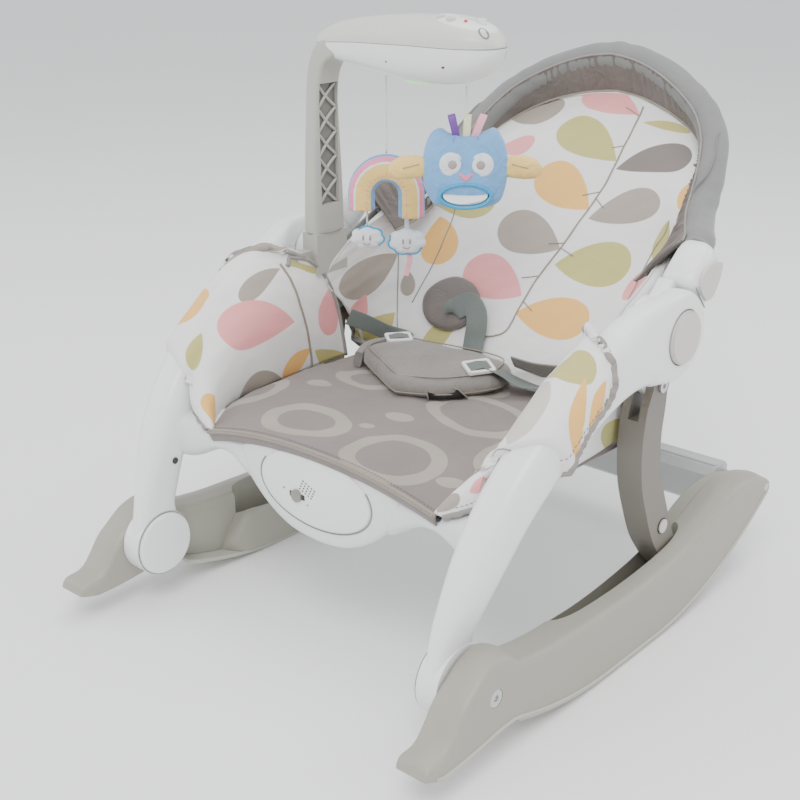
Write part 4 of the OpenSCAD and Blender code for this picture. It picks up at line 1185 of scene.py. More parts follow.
j2 = stitches("pan_stitch_b", [(x, pan_edge(x)[0] + 3.2, pan_edge(x)[1] + 1.1) for x in xs * 0.99], m_stitch, (0, 0, 1), 2.2, 1.6, 0.38)
for q in (j1, j2):
    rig.ride(q, "side_frame")
lipv = []
for x in xs:
    y_, z_ = pan_edge(x)
    lipv.append([(x, y_ - 0.5, z_ - 1), (x, y_ + 0.5, z_ - 6), (x * 0.99, y_ + 3, z_ - 12), (x * 0.98, y_ + 12, min(z_ - 15, 190))])
lp_ = gridmesh("pan_front_fold", np.array(lipv), m_pan, UV=None) if False else gridmesh("pan_front_fold", np.array(lipv), m_pan, uv=np.array(lipv)[..., :2] * 0 + [400, 400], thick=1.2)
bake(lp_)
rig.ride(lp_, "side_frame")

# ================= arm covers =================
ARMS = cr(ARM, 4)


def off_shell(G, side, gap=5.6):
    C = ARMS[:, :2]
    t = np.gradient(C, axis=0)
    t /= np.linalg.norm(t, axis=1)[:, None]
    m, n = G.shape[:2]
    H = G.copy()
    ok = C[:, 1] > 150
    ids = np.arange(len(C))[ok]
    for i in range(m):
        for j in range(n):
            x, y, z = H[i, j]
            k = ids[np.argmin((C[ids, 0] - y) ** 2 + (C[ids, 1] - z) ** 2)]
            nv = np.array([-t[k, 1], t[k, 0]])
            d = np.array([y, z]) - C[k]
            b = float(d @ nv)
            a = abs(x) - ARMS[k, 2]
            al = float(d @ t[k])
            ha, hb = ARMS[k, 3] / 2 + gap, ARMS[k, 4] / 2 + gap
            f = (abs(a / ha) ** 3 + abs(b / hb) ** 3) ** (1 / 3)
            if f < 1 and abs(al) < 14:
                f = max(f, 0.35)
                a, b = a / f, b / f
                p = C[k] + nv * b + t[k] * al
                H[i, j] = (side * (ARMS[k, 2] + a), p[0], p[1])
    for _ in range(2):
        K = H.copy()
        K[1:-1, 1:-1] = (H[1:-1, 1:-1] * 4 + H[:-2, 1:-1] + H[2:, 1:-1] + H[1:-1, :-2] + H[1:-1, 2:]) / 8
        H = K
    return H


LEFT = [(-9.7, 187.7, 87.7, 31.8, 10.8, 0.9, 0, TAUPE), (-4, 250, -95, 25, 9, 0.9, 0, OLIVE), (-41.9, 161, 119.8, 58, 23.7, 0.9, 0, PINK), (-62.7, 262, 18.3, 32.2, 16.7, 0.9, 0, PINK), (-66, 306, -150, 42, 26, 0.9, 0, TAUPE), (-128, 262, -60, 30, 18, 0.9, 0, OLIVE), (-112, 150, 114.9, 48, 19, 0.9, 0, TAUPE), (-19.3, 32.5, 111.8, 20.4, 15.0, 0.9, 0, ORANGE), (3, 84, 88.1, 20, 9, 0.9, 0, OLIVE), (42, 150, 60, 34, 17, 0.9, 0, ORANGE), (48, 240, 100, 34, 17, 0.9, 0, TAUPE), (-120, 212, 60, 22, 14, 0.9, 0, ORANGE)]
RIGHT = [(7, 117.5, -61.7, 38, 24, 0.9, 0, (0.60, 0.57, 0.51)), (-12, 62, -87.8, 27, 7, 0.9, 0, OLIVE), (19.9, 172, -154.9, 30, 17.7, 0.9, 0, OLIVE), (51.1, 144.5, 110.9, 30, 9.2, 0.9, 0, ORANGE), (68, 176, 109.8, 20, 14, 0.9, 0, ORANGE), (10, 46, -106.3, 10, 7, 0.9, 0, PINK), (0, 15.2, -88.2, 14, 9, 0.9, 0, TAUPE), (-60, 120, 40, 42, 20, 0.9, 0, PINK), (-96, 190, -120, 42, 20, 0.9, 0, TAUPE), (-50, 230, 30, 40, 20, 0.9, 0, ORANGE), (-110, 270, 80, 36, 18, 0.9, 0, OLIVE), (-20, 290, -60, 32, 16, 0.9, 0, PINK)]
add_leaves(m_printL, LEFT)
add_leaves(m_printR, RIGHT)
for sd, side, mt in (("right", 1, m_printR), ("left", -1, m_printL)):
    G = arm_grid(side, 12, 10)
    UV = arcs(G)
    m, n = G.shape[:2]
    ref = (-side, 0, 0.7)
    G = off_shell(G, side)
    # fine pulls toward the hem and small creases along the wall
    nn = gnorm(G, ref)
    e = np.linspace(0, 1, n)[None, :]
    pulls = 0.8 * np.sin(UV[..., 1] * 0.42 + 1.5 * np.sin(UV[..., 1] * 0.09)) * np.clip((e - 0.86) / 0.14, 0, 1)
    cre = 0.9 * np.sin(UV[..., 0] * 0.10 + 0.05 * UV[..., 1] + side) ** 5 * np.sin(np.pi * e)
    G = G + nn * (pulls + cre)[..., None]
    o, nn = cushion("arm_fabric_" + sd, G, taper(m, n, 5.0, 1.4, 0.06, 0.10), mt, UV, ref)
    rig.ride(o, "side_frame")
    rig.replaces(o, "arm_cover_" + sd)
    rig.padded(o, 0.45)
    hem = G[:, -1]
    b1 = tube("arm_binding_" + sd, hem + nn[:, -1] * -0.6, 3.0, m_bind, n=12)
    b2 = tube("arm_front_binding_" + sd, G[0] - nn[0] * 0.5, 2.2, m_bind, n=10) if False else None
    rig.ride(b1, "side_frame")
    st = stitches("arm_stitch_" + sd, onuv(G, UV, [(UV[i, -1, 0] - 6.5, UV[i, n // 2, 1]) for i in range(6, m - 2)], 0.35, nn), m_stitch, (0, 0, 1), 2.6, 2.0, 0.3)
    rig.ride(st, "side_frame")
    back_b = tube("arm_back_binding_" + sd, G[-1] + nn[-1] * -0.5, 2.4, m_bind, n=10)
    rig.ride(back_b, "side_frame")
    if side < 0:
        L1 = [(-3.2, 222.4), (-28.9, 220.6), (-61.0, 221.8), (-97.5, 227.9), (-127.1, 232.6), (-140, 231)]
        s1 = tube("arm_piping_left", onuv(G, UV, cr(L1, 5), 0.4, nn), 1.3, m_pipe, n=8)
        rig.ride(s1, "side_frame")
        L2 = [(-8, 228), (14, 250), (22, 275), (20, 300), (14, 325)]
        s2 = tube("arm_top_binding_left", onuv(G, UV, cr(L2, 5), 0.6, nn), 2.2, m_bind, n=8)
        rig.ride(s2, "side_frame")
    else:
        for nm, L1 in (("a", [(-6, 58), (0.4, 65.3), (11.4, 72.3), (28.7, 83.8), (44, 97)]), ("b", [(-14, 32), (-10, 45), (-6, 52), (0, 60)])):
            s1 = tube("arm_seam_right_" + nm, onuv(G, UV, cr(L1, 5), 0.2, nn), 0.7, m_bind, n=6)
            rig.ride(s1, "side_frame")

# ================= back cover =================
BACK = [(-1.2, 351.6, -13.1, 41.8, 17.9, 0.9, 0, PINK), (-93.1, 344.4, -178.4, 33.6, 19.2, 0.9, 0, TAUPE), (-4.0, 298.7, -23.1, 47.9, 23.6, 0.9, 0, OLIVE), (77.7, 341.5, -166.2, 31.6, 6.4, 0.9, 0, OLIVE), (85.2, 299.0, -145.9, 51.1, 18.9, 0.9, 0, DGREY), (-6.7, 236.7, -26.2, 44.7, 25.1, 0.9, 0, ORANGE), (76.4, 228.4, -149.8, 44.7, 22.2, 0.9, 0, TAUPE), (-23.5, 175.8, -11.9, 44.4, 25.7, 0.9, 0, TAUPE), (64.9, 157.5, -168.6, 45.0, 26.6, 0.9, 0, OLIVE), (-42.2, 117.2, -15.5, 43.6, 25.8, 0.9, 0, PINK), (45.8, 90.3, -173.8, 44.3, 24.3, 0.9, 0, ORANGE), (150.9, 291.5, 85.5, 23, 10.2, 0.9, 0, ORANGE), (137.4, 205, 87.4, 30, 11, 0.9, 0, OLIVE), (128, 152, 66.9, 26, 9, 0.9, 0, PINK), (-92.9, 293.5, 167.3, 22, 17, 0.9, 0, PINK), (-119.6, 199.9, -174, 36.4, 19.8, 0.9, 0, OLIVE), (-130.9, 151.3, 115.1, 32.1, 21.7, 0.9, 0, ORANGE), (-144.4, 93.2, 110.1, 17.2, 9, 0.9, 0, TAUPE), (110, 40, 120, 34, 18, 0.9, 0, TAUPE), (-80, 46, 60, 30, 14, 0.9, 0, OLIVE), (-197, 102, 46.7, 38.6, 31, 0.9, 0, TAUPE), (-163.4, 27.3, 58.2, 32.1, 18.4, 0.9, 0, OLIVE), (-190, 50, 83, 24, 13, 0.9, 0, PINK), (197, 102, 133, 38, 22, 0.9, 0, OLIVE), (176, 50, 100, 28, 16, 0.9, 0, PINK)]
add_leaves(m_printB, BACK)
G = back_grid(12, 10)
UV = arcs(G)
m, n = G.shape[:2]
ref = (0, -0.64, 0.77)
nn = gnorm(G, ref)
e = np.linspace(-1, 1, n)[None, :]
r_ = np.linspace(0, 1, m)[:, None]
G = G + nn * (1.6 * hnoise(G, 0.028, 1.0) * (1 - e ** 4) * np.sin(np.pi * np.clip(r_, 0.0, 1)) + 0.9 * np.sin(UV[..., 0] * 0.06 - UV[..., 1] * 0.07 + 1.1) ** 5)[..., None]
bc, nn = cushion("back_cover", G, taper(m, n, 11.0, 2.2, 0.05, 0.07), m_printB, UV, ref)
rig.replaces(bc, "back_pad")
Gbk, nbk = G.copy(), nn.copy()
G_back = (Gbk, UV.copy(), nbk)
HB = (0, T([(0, 0, 215)])[0][1], 0.215)
HE = (0, T([(0, 90, 300)])[0][1], 0.300)
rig.blend(bc, "side_frame", "backrest", HB, HE)
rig.padded(bc, 0.5)
STEM = [(39.5, 352), (41.2, 315.2), (40.5, 275.0), (37.4, 239.6), (31.5, 210.1), (20.8, 169.5), (9.6, 133.5), (4.7, 96.0), (0, 66), (-12, 56), (-26, 52)]
q = tube("stem_piping", onuv(G, UV, cr(STEM, 6), 0.35, nn), 1.0, m_pipe, n=8)
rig.blend(q, "side_frame", "backrest", HB, HE)
BR = [((39.4, 340), (20, 346)), ((41, 300), (28, 294)), ((37.4, 240), (18, 232)), ((35, 232), (50, 222)), ((22, 174), (4, 170)), ((20, 168), (38, 162)), ((9, 132), (-10, 126)), ((5, 100), (20, 92))]
for k, (a, b) in enumerate(BR):
    q = tube("leaf_stalk_%d" % k, onuv(G, UV, np.linspace(a, b, 8), 0.3, nn), 0.6, m_pipe, n=6)
    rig.blend(q, "side_frame", "backrest", HB, HE)
WS = tube("wing_seam", onuv(G, UV, cr([(-172, 140), (-169.7, 129.5), (-158.8, 101.9), (-149.1, 69.8), (-139.5, 41.5), (-136, 30)], 5), 0.15, nn), 0.7, m_bind, n=6)
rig.blend(WS, "side_frame", "backrest", HB, HE)
SM = [(-140, 232), (-136.3, 209.1), (-128.6, 183.7), (-125.8, 142.9), (-125.7, 110), (-130, 70)]
for k, sgn in ((0, 1), (1, -1)):
    q = tube("side_seam_%d" % k, onuv(G, UV, cr([(u * sgn, v) for u, v in SM], 5), 0.25, nn), 0.7, m_bind, n=6)
    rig.blend(q, "side_frame", "backrest", HB, HE)
# binding along the wings
m_edge = material("print_edge_fabric", (0.70, 0.695, 0.69), 0.8, 0.03, 30, bump=0.3, bscale=1500)
for k, col in ((0, 0), (1, n - 1)):
    q = tube("wing_binding_%d" % k, G[: int(m * 0.62), col] - nn[: int(m * 0.62), col] * 1.0, 1.7, m_edge, n=10)
    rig.blend(q, "side_frame", "backrest", HB, HE)

# ================= ruched rim and tube sleeve =================
P1 = [(152, 92, 333), (150, 122, 340), (149, 147, 349), (149, 162, 362), (147, 176, 376), (145, 198, 394), (142, 219, 408), (139, 232, 417), (128, 254, 432), (105, 268, 449), (72, 276, 464), (35, 284, 474), (0, 288, 478)]
P2 = [(176, 96, 338), (168, 128, 344), (164, 153, 359), (164, 167, 376), (162, 197, 401), (157, 224, 427), (147, 242, 445), (125, 272, 465), (98, 291, 483), (65, 302, 497), (30, 307, 505), (0, 308, 508)]
ARCH = [(210, 92, 0), (205, 106, -6), (195, 121, -18), (183, 138, -30), (171, 160, -39), (162, 190, -43), (154, 222, -41), (143, 252, -37), (124, 278, -30), (95, 299, -22), (62, 316, -16), (30, 326, -12), (0, 330, -10)]
NS = 150


def full(P, k=NS):
    h = resample(cr(P, 6), k)
    return np.vstack([h * [-1, 1, 1], h[::-1][1:]])


B1, B2 = full(P1), full(P2)
BT = full([bp(*p) for p in ARCH])
hn = np.array([0, -math.sin(A40), math.cos(A40)])
mS = len(B1)
s_ = np.r_[0, np.cumsum(np.linalg.norm(np.diff(B2, axis=0), axis=1))]
nr_ = 22
R = np.zeros((mS, nr_, 3))
tb = np.gradient(BT, axis=0)
tb /= np.linalg.norm(tb, axis=1)[:, None]
TG = np.zeros_like(BT)
for i in range(mS):
    v_ = hn - tb[i] * np.dot(hn, tb[i])
    v_ /= np.linalg.norm(v_)
    q = B1[i] - BT[i]
    q = q - tb[i] * np.dot(q, tb[i])
    q = q - v_ * np.dot(q, v_)
    q /= np.linalg.norm(q) + 1e-9
    TG[i] = BT[i] + 15.6 * (math.cos(math.radians(52)) * q + math.sin(math.radians(52)) * v_)
for j in range(nr_):
    t = j / (nr_ - 1)
    base = B1 * (1 - t) + TG * t
    fold = np.sin(s_ * 0.62 + 1.6 * np.sin(s_ * 0.13) + 2.4 * t) + 0.6 * np.sin(s_ * 1.15 + 2.0 * np.sin(s_ * 0.31) - 3.1 * t)
    amp = 1.9 * math.sin(math.pi * t) ** 0.7
    R[:, j] = base + hn * (5.0 * math.sin(math.pi * t) ** 0.8 + amp * fold)[:, None]
UVr = np.stack([np.repeat(s_[:, None], nr_, 1), np.repeat(np.linspace(0, 30, nr_)[None], mS, 0)], 2)
rim, rn = cushion("ruched_border", R, taper(mS, nr_, 7.0, 1.6, 0.02, 0.2), m_rim, UVr, ref)
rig.ride(rim, "backrest")
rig.replaces(rim, "ruched_rim")
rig.padded(rim, 0.45)
q = tube("rim_piping", B1 + hn * 1.4, 1.3, m_pipe, n=8)
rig.ride(q, "backrest")
q = tube("band_piping", TG + hn * 0.4, 1.2, m_bind, n=8)
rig.ride(q, "backrest")

near = []
hs2 = mS // 2
for i in range(hs2 + 1):
    k = int(np.argmin(np.linalg.norm(B2[: hs2 + 1] - BT[i], axis=1)))
    near.append(k)
near = np.maximum.accumulate(np.array(near, float))
ker = np.ones(9) / 9
near = np.convolve(np.r_[[near[0]] * 4, near, [near[-1]] * 4], ker, "valid")
near[-1] = hs2


def b2at(k):
    return np.array([np.interp(k, np.arange(hs2 + 1), B2[: hs2 + 1, q]) for q in range(3)])


B2N = np.array([b2at(k) for k in near])
B2N = np.vstack([B2N, (B2N * [-1, 1, 1])[::-1][1:]])
tt = np.gradient(BT, axis=0)
tt /= np.linalg.norm(tt, axis=1)[:, None]
ks = 30
SV = np.zeros((mS, ks, 3))
WB = np.zeros((mS, 7, 3))
for i in range(mS):
    c, t = BT[i], tt[i]
    u_ = np.cross(t, hn)
    u_ /= np.linalg.norm(u_)
    v_ = np.cross(u_, t)
    edge = min(1.0, min(i, mS - 1 - i) / 6.0)
    rr = 12.4 + 2.2 * edge
    for j in range(ks):
        a = 2 * math.pi * j / ks
        wv = 0.35 * math.sin(s_[i] * 0.16 + 2 * math.sin(s_[i] * 0.05) + 2 * a)
        SV[i, j] = c + (rr + wv) * (math.cos(a) * u_ + math.sin(a) * v_)
    q = B2N[i] - c
    q = q - t * np.dot(q, t)
    q /= np.linalg.norm(q)
    q0 = c + (rr - 1.0) * (0.75 * q + 0.66 * v_ * (1 if np.dot(v_, hn) > 0 else -1))
    for j in range(7):
        f = j / 6.0
        WB[i, j] = B2N[i] * (1 - f) + q0 * f + hn * 1.6 * math.sin(math.pi * f)
UVs = np.stack([np.repeat(s_[:, None], ks, 1), np.repeat(np.linspace(0, 90, ks)[None], mS, 0)], 2)
sv = gridmesh("sleeve_fabric", SV, m_band, uv=UVs, wrap=True, thick=1.0)
bake(sv)
fixn(sv)
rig.ride(sv, "backrest")
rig.replaces(sv, "tube_sleeve")
SVc = np.concatenate([SV, SV[:, :1]], 1)
area = float(np.linalg.norm(np.cross(SVc[1:, 1:] - SVc[:-1, :-1], SVc[1:, :-1] - SVc[:-1, 1:]), axis=2).sum() / 2) * 1e-6
wid = float(np.linalg.norm(np.diff(SVc, axis=1), axis=2).sum(1).mean()) * 1e-3
leng = area / wid
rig.sheet(sv, (round(wid, 3), round(leng, 3)), "stretched", rests_on=["back_tube"])
print("SLEEVE", wid, leng, area)
wb = gridmesh("sleeve_web", WB, m_band, uv=np.stack([np.repeat(s_[:, None], 7, 1), np.repeat(np.linspace(0, 16, 7)[None], mS, 0)], 2), thick=1.0)
bake(wb)
fixn(wb)
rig.ride(wb, "backrest")
for k, i in ((0, 1), (1, mS - 2)):
    q = tube("sleeve_hem_%d" % k, list(SV[i]) + [SV[i, 0]], 1.3, m_bind, n=8, up=tuple(tt[i]), caps=False)
    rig.ride(q, "backrest")
# rear face of the back: plain fabric behind the print
m_back = material("rear_fabric", (0.27, 0.265, 0.25), 0.8, 0.05, 20, wr=0.4, wscale=20, **FABN)
GR = Gbk - nbk * 13.4
GR = GR[2:-1, 2:-2]
rb, rbn = cushion("rear_panel", GR, taper(GR.shape[0], GR.shape[1], 2.4, 1.2), m_back, arcs(GR), ref)
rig.blend(rb, "side_frame", "backrest", HB, HE)
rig.padded(rb, 0.3)


# ================= toy arm =================
PX = -187
PL = [(-187, 340, 10.5, 23.5), (-187, 350, 10.5, 23), (-187, 400, 10, 21.5), (-187, 450, 9.5, 19), (-186.6, 485, 9.5, 17), (-184, 508, 10, 16.5), (-178, 524, 11, 17), (-168, 534, 12, 18), (-156, 540, 12, 19)]
PS = cr(PL, 6)
pt = np.stack([PS[:, 0], np.full(len(PS), 14.0), PS[:, 1]], 1)
tg = np.gradient(pt, axis=0)
tg /= np.linalg.norm(tg, axis=1)[:, None]
R = [superring(p, np.array([t[2], 0, -t[0]]) * q[2], (0, q[3], 0), 5.0, 48) for p, t, q in zip(pt, tg, PS)]
post = loft("post_shell", R, m_post)
cutb(post, boxm("cut", (-182.5, 14 - 13.5, 374), (-150, 14 + 13.5, 500), m_post, 0))
shade_auto(post, 40)
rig.ride(post, "toy_arm")
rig.replaces(post, "toy_post", "post_lattice")
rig.slot(post, "post_grey")
pin = cylm("post_pin", (PX, 14, 310), (PX, 14, 346), 8, m_steel, 32)
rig.ride(pin, "toy_arm")
ribs = []
zs = np.linspace(374, 499, 6)
for a, b in zip(zs[:-1], zs[1:]):
    for y0, y1 in ((-13.5, 13.5), (13.5, -13.5)):
        R = []
        for f in np.linspace(0, 1, 9):
            y, z = 14 + y0 + (y1 - y0) * f, a + (b - a) * f + 2.0 * math.sin(math.pi * f) * (1 if y0 < 0 else -1)
            R.append((-180.5, y, z))
        ribs.append(tube("rib", R, 1.7, m_post, n=8, up=(1, 0, 0)))
lat = join("post_ribs", ribs)
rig.ride(lat, "toy_arm")
# dark floor behind the ribs: painted shade in the recess
bk = boxm("post_recess_floor", (-182.6, 14 - 13.4, 374.2), (-182.0, 14 + 13.4, 499.8), m_post2, 0)
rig.ride(bk, "toy_arm")
# dark line round the socket: painted shade in the seam
g = tube("socket_line", [(-185.8 + 12.3 * math.cos(a), 14 + 24.6 * math.sin(a), 344) for a in np.linspace(0, 2 * math.pi, 50)], 0.6, m_groove, n=6, caps=False)
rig.ride(g, "side_frame")

POD = cr([(-180, 13, 541.5, 549, 533), (-176, 16, 541, 552.5, 529), (-160, 19, 543, 560.5, 525.5), (-135, 23.5, 545, 566.5, 521.5), (-105, 29.5, 547, 570.5, 517.5), (-75, 33.5, 548, 573.4, 513.6), (-40, 36.3, 549, 575, 511.8), (-5, 35.5, 549, 573.8, 513.8), (20, 29.5, 549, 569, 521.6), (32, 22, 549, 563.5, 530), (38.5, 13.5, 549, 557.5, 539.5), (41, 5, 549, 551.5, 546.5)], 5)


def podtop(x, y):
    q = [float(np.interp(x, POD[:, 0], POD[:, k])) for k in range(5)]
    s = min(1, abs(y - 14) / q[1])
    return q[2] + (q[3] - q[2]) * max(0.0, 1 - s ** 2.6) ** 0.5


for nm, sg, mt, node in (("pod_top_shell", 1, m_pod, "pod_upper"), ("pod_bottom_shell", -1, m_podw, "pod_lower")):
    R = []
    for x, hw, zs_, zt, zb in POD:
        ring = []
        h = (zt - zs_) if sg > 0 else (zs_ - zb)
        for k in range(33):
            a = math.pi * k / 32
            y = 14 + sg * hw * math.copysign(abs(math.cos(a)) ** (2 / 2.6), math.cos(a))
            ring.append((x, y, zs_ + sg * (0.35 + (h - 0.35) * math.sin(a) ** (2 / 2.4))))
        for k in range(1, 8):
            ring.append((x, 14 - sg * hw * (1 - 2 * k / 8), zs_ + sg * 0.35))
        R.append(ring)
    o = loft(nm, R, mt)
    shade_auto(o, 50)
    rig.ride(o, "toy_arm")
    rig.replaces(o, node)
    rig.slot(o, "post_grey" if sg > 0 else "white_plastic")
R = [[(x, 14 + hw * 0.985 * math.cos(a), z) for a in np.linspace(0, 2 * math.pi, 2, endpoint=False)] for x, hw, z, _, _ in POD]
# dark seam line between the pod halves: painted shade
seam = [(x, 14 - hw + 0.4, z) for x, hw, z, _, _ in POD] + [(x, 14 + hw - 0.4, z) for x, hw, z, _, _ in POD[::-1]]
g = tube("pod_seam", seam, 0.55, m_groove, n=6)
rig.ride(g, "toy_arm")
rings_ = []
for f, lift in ((1.0, 0.1), (0.985, 0.9), (0.95, 1.3), (0.8, 1.4), (0.5, 1.5), (0.2, 1.6), (0.02, 1.6)):
    ring = []
    for a in np.linspace(0, 2 * math.pi, 56, endpoint=False):
        x, y = 1 + 33 * f * math.cos(a), 14 + 24 * f * math.sin(a)
        ring.append((x, y, podtop(x, y) + lift))
    rings_.append(ring)
o = loft("control_panel", rings_, m_podw)
for x in (-1, 9, 19):
    cutb(o, cylm("cut", (x, 14, 560), (x, 14, 580), 4.7, m_podw, 32))
shade_auto(o, 55)
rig.ride(o, "toy_arm")
for nm, x, y, r, h, mt in (("panel_bump_a", -18, 0, 4.6, 2.2, m_pod), ("panel_bump_b", -4, -2, 4.6, 2.2, m_pod), ("panel_dot", 10, 2, 1.6, 1.6, m_red)):
    z = podtop(x, y)
    q = cylm(nm, (x, y, z), (x, y, z + 1.6 + h), r, mt, 28, bev=min(1.4, r * 0.5))
    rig.ride(q, "toy_arm")
# dark ring on the control panel: painted shade in its groove
g = tube("panel_ring", [(31 + 4.6 * math.cos(a), 2 + 4.0 * math.sin(a), podtop(31 + 4.6 * math.cos(a), 2 + 4.0 * math.sin(a)) + 0.6) for a in np.linspace(0, 2 * math.pi, 40)], 0.9, m_groove, n=8, caps=False)
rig.ride(g, "toy_arm")
for nm, x in (("a", -70), ("b", 0)):
    hw = float(np.interp(x, POD[:, 0], POD[:, 1]))
    q = cylm("pod_screw_" + nm, (x, 14 - hw + 2.5, 533), (x, 14 - hw * 0.86 - 1.2, 532), 1.6, m_dark, 16)
    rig.ride(q, "toy_arm")
rings_ = []
for k in range(7):
    a = k / 6 * math.pi / 2
    r = 21 * math.cos(a) + 0.05
    rings_.append([(-46 + r * 1.15 * math.cos(b), 14 + r * math.sin(b), 514.5 - 5.2 * math.sin(a)) for b in np.linspace(0, 2 * math.pi, 40, endpoint=False)])
o = loft("lens_dome", rings_, m_lens)
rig.ride(o, "toy_arm")
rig.replaces(o, "lamp_lens")
for nm, x, z in (("r", -98, 517), ("o", 3, 514)):
    q = cylm("cord_lug_" + nm, (x, 14, z + 4.5), (x, 14, z - 1.6), 3.6, m_podw, 24, r2=2.4)
    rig.ride(q, "toy_arm")

# ================= toys =================
YW = math.radians(41)


def hangp(h, P):
    P = np.asarray(P, float)
    sh = P.shape
    P = P.reshape(-1, 3)
    c, s = math.cos(YW), math.sin(YW)
    out = np.stack([h[0] + P[:, 0] * c - P[:, 1] * s, h[1] + P[:, 0] * s + P[:, 1] * c, P[:, 2]], 1)
    return out.reshape(sh)


HR, HO_ = (-98, 14), (3, 14)


def ride(o, b, rep=None):
    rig.ride(o, b)
    if rep:
        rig.replaces(o, *([rep] if isinstance(rep, str) else rep))
    return o


# rainbow
path = []
for s in np.linspace(0, 1, 8)[:-1]:
    path.append((25.5 + 0.5 * (1 - s), 372 + 22 * s, 0))
for th in np.linspace(0, math.pi, 44):
    path.append((0, 0, th))
for s in np.linspace(0, 1, 8)[1:]:
    path.append((-25.5 - 0.5 * s, 394 - 14 * s, 1))
R = []
radii = [12, 12.6, 15.5, 16, 19.3, 20.6, 24, 28, 31, 31.6, 33, 33.5, 36, 38, 39]
for p in path:
    if len(p) == 3 and p[1] == 0 and p[0] == 0:
        th = p[2]
        ex, ez, cx, cz = math.cos(th), math.sin(th), 0.0, 396.0
    elif p[2] == 0:
        ex, ez, cx, cz = 1.0, 0.0, 0.0, p[1]
    else:
        ex, ez, cx, cz = -1.0, 0.0, 0.0, p[1]
    ring = []
    for r in radii:
        f = (r - 25.5) / 13.5
        t = 12 * max(0.02, 1 - abs(f) ** 3.0) ** 0.45
        ring.append((cx + ex * r, -t, cz + ez * r * (1.02 if ez > 0 else 1)))
    for r in radii[::-1]:
        f = (r - 25.5) / 13.5
        t = 12 * max(0.02, 1 - abs(f) ** 3.0) ** 0.45
        ring.append((cx + ex * r, t, cz + ez * r * (1.02 if ez > 0 else 1)))
    R.append(ring)
R = np.array(R)
V = hangp(HR, R)
m_, n_ = V.shape[:2]
F, MI = [], []
nr2 = len(radii)
for i in range(m_ - 1):
    for j in range(n_):
        F.append((i * n_ + j, i * n_ + (j + 1) % n_, (i + 1) * n_ + (j + 1) % n_, (i + 1) * n_ + j))
        mi = 0
        if j < nr2 - 1:
            r = (radii[j] + radii[j + 1]) / 2
            mi = 3 if 16 < r < 31.6 else (2 if 31.6 < r < 33.5 else (1 if 33.5 < r < 38.5 else 0))
            if 19.3 < r < 20.6 and i % 3 == 1:
                mi = 1
            if 20.6 < r < 24 and i % 6 == 4:
                mi = 4
        MI.append(mi)
F.append(tuple(range(n_ - 1, -1, -1)))
F.append(tuple((m_ - 1) * n_ + j for j in range(n_)))
MI += [0, 0]
o = mesh("rainbow_plush", V.reshape(-1, 3), F, m_tblue)
for mt in (m_tpink, m_twhite, m_tyel, m_torange):
    o.data.materials.append(mt)
o.data.polygons.foreach_set("material_index", MI)
fixn(o)
ride(o, "rainbow", "rainbow_toy")
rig.padded(o, 0.9)
seams = []
for f in (38.6,):
    P = [(f, -3.0, 374)] + [(f * math.cos(t), -3.0, 396 + f * 1.02 * math.sin(t)) for t in np.linspace(0, math.pi, 40)] + [(-f, -3.0, 381)]
    seams.append(tube("s", hangp(HR, P), 0.5, m_tdblue, n=6))
ride(join("rainbow_seam", seams), "rainbow")

cords = []
for nm, h, z0, z1, body, node in (("rainbow_cord_line", (-98, 14), 515.4, 436.9, "rainbow", "rainbow_cord"), ("owl_cord_line", (3, 14), 512.4, 467.1, "owl", "owl_cord")):
    P = [(h[0], h[1], z) for z in np.linspace(z0, z1, 16)]
    o = tube(nm, P, 1.0, m_cord, n=10, up=(0, 1, 0))
    ride(o, body, node)
    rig.cord(o, tuple(T([P[0]])[0]), (z0 - z1) / 1000.0, 0.002, "object", stiffness="limp", lay="hanging", path=[tuple(p) for p in T(P)])
# clouds
parts = []
for cx, cz, rr, sgn in ((-20, 350, 16.5, -1), (21, 346, 18.5, 1)):
    rings_ = []
    for y in np.linspace(-1, 1, 15):
        k = max(0.0, 1 - abs(y) ** 2.4) ** 0.5
        ring = []
        for a in np.linspace(0, 2 * math.pi, 60, endpoint=False):
            lob = 1 + 0.075 * abs(math.cos(3.5 * a + 0.6)) * 1.6 - 0.05
            k2 = 0.12 + 0.88 * k
            ring.append((cx + rr * lob * k2 * math.cos(a), 7.2 * y, cz + rr * 0.70 * lob * k2 * math.sin(a)))
        rings_.append(ring)
    parts.append(loft("c", hangp(HR, rings_), m_twhite))
    lo_, hi_ = (0.15, 0.62) if sgn < 0 else (0.42, 0.92)
    P = []
    for a in np.linspace(lo_ * 2 * math.pi, hi_ * 2 * math.pi, 40) - (math.pi * 0.55 if sgn < 0 else 0):
        lob = 1 + 0.075 * abs(math.cos(3.5 * a + 0.6)) * 1.6 - 0.05
        P.append((cx + rr * lob * math.cos(a), -2.6, cz + rr * 0.70 * lob * math.sin(a)))
    parts.append(tube("e", hangp(HR, P), 1.05, m_cyan, n=8, up=(0, 1, 0)))
    for ex in (-4.2, 3.0):
        P = [(cx + ex, -7.2, cz + 3.6), (cx + ex, -7.45, cz + 1.2), (cx + ex, -7.2, cz - 1.2)]
        parts.append(tube("y", hangp(HR, P), [0.8, 1.0, 0.8], m_tgrey, n=8, up=(0, 1, 0)))
    P = [(cx - 0.6 + 4.0 * math.cos(a), -7.35 + 0.2 * abs(math.cos(a)), cz - 2.6 + 3.6 * math.sin(a)) for a in np.linspace(math.pi * 1.15, math.pi * 1.85, 12)]
    parts.append(tube("m", hangp(HR, P), 0.5, m_tgrey, n=6, up=(0, 1, 0)))
parts.append(tube("t", hangp(HR, [(-20, 0, 361), (-20, 0, 370), (-20, 0, 381)]), 1.0, m_cord, n=8, up=(0, 1, 0)))
parts.append(strap("t", hangp(HR, [(21, 0, 358), (20.6, 0.6, 366), (21, 0, 374)]), 4.5, hangp((0, 0), [(1, 0, 0)])[0], m_cord, t=0.8))
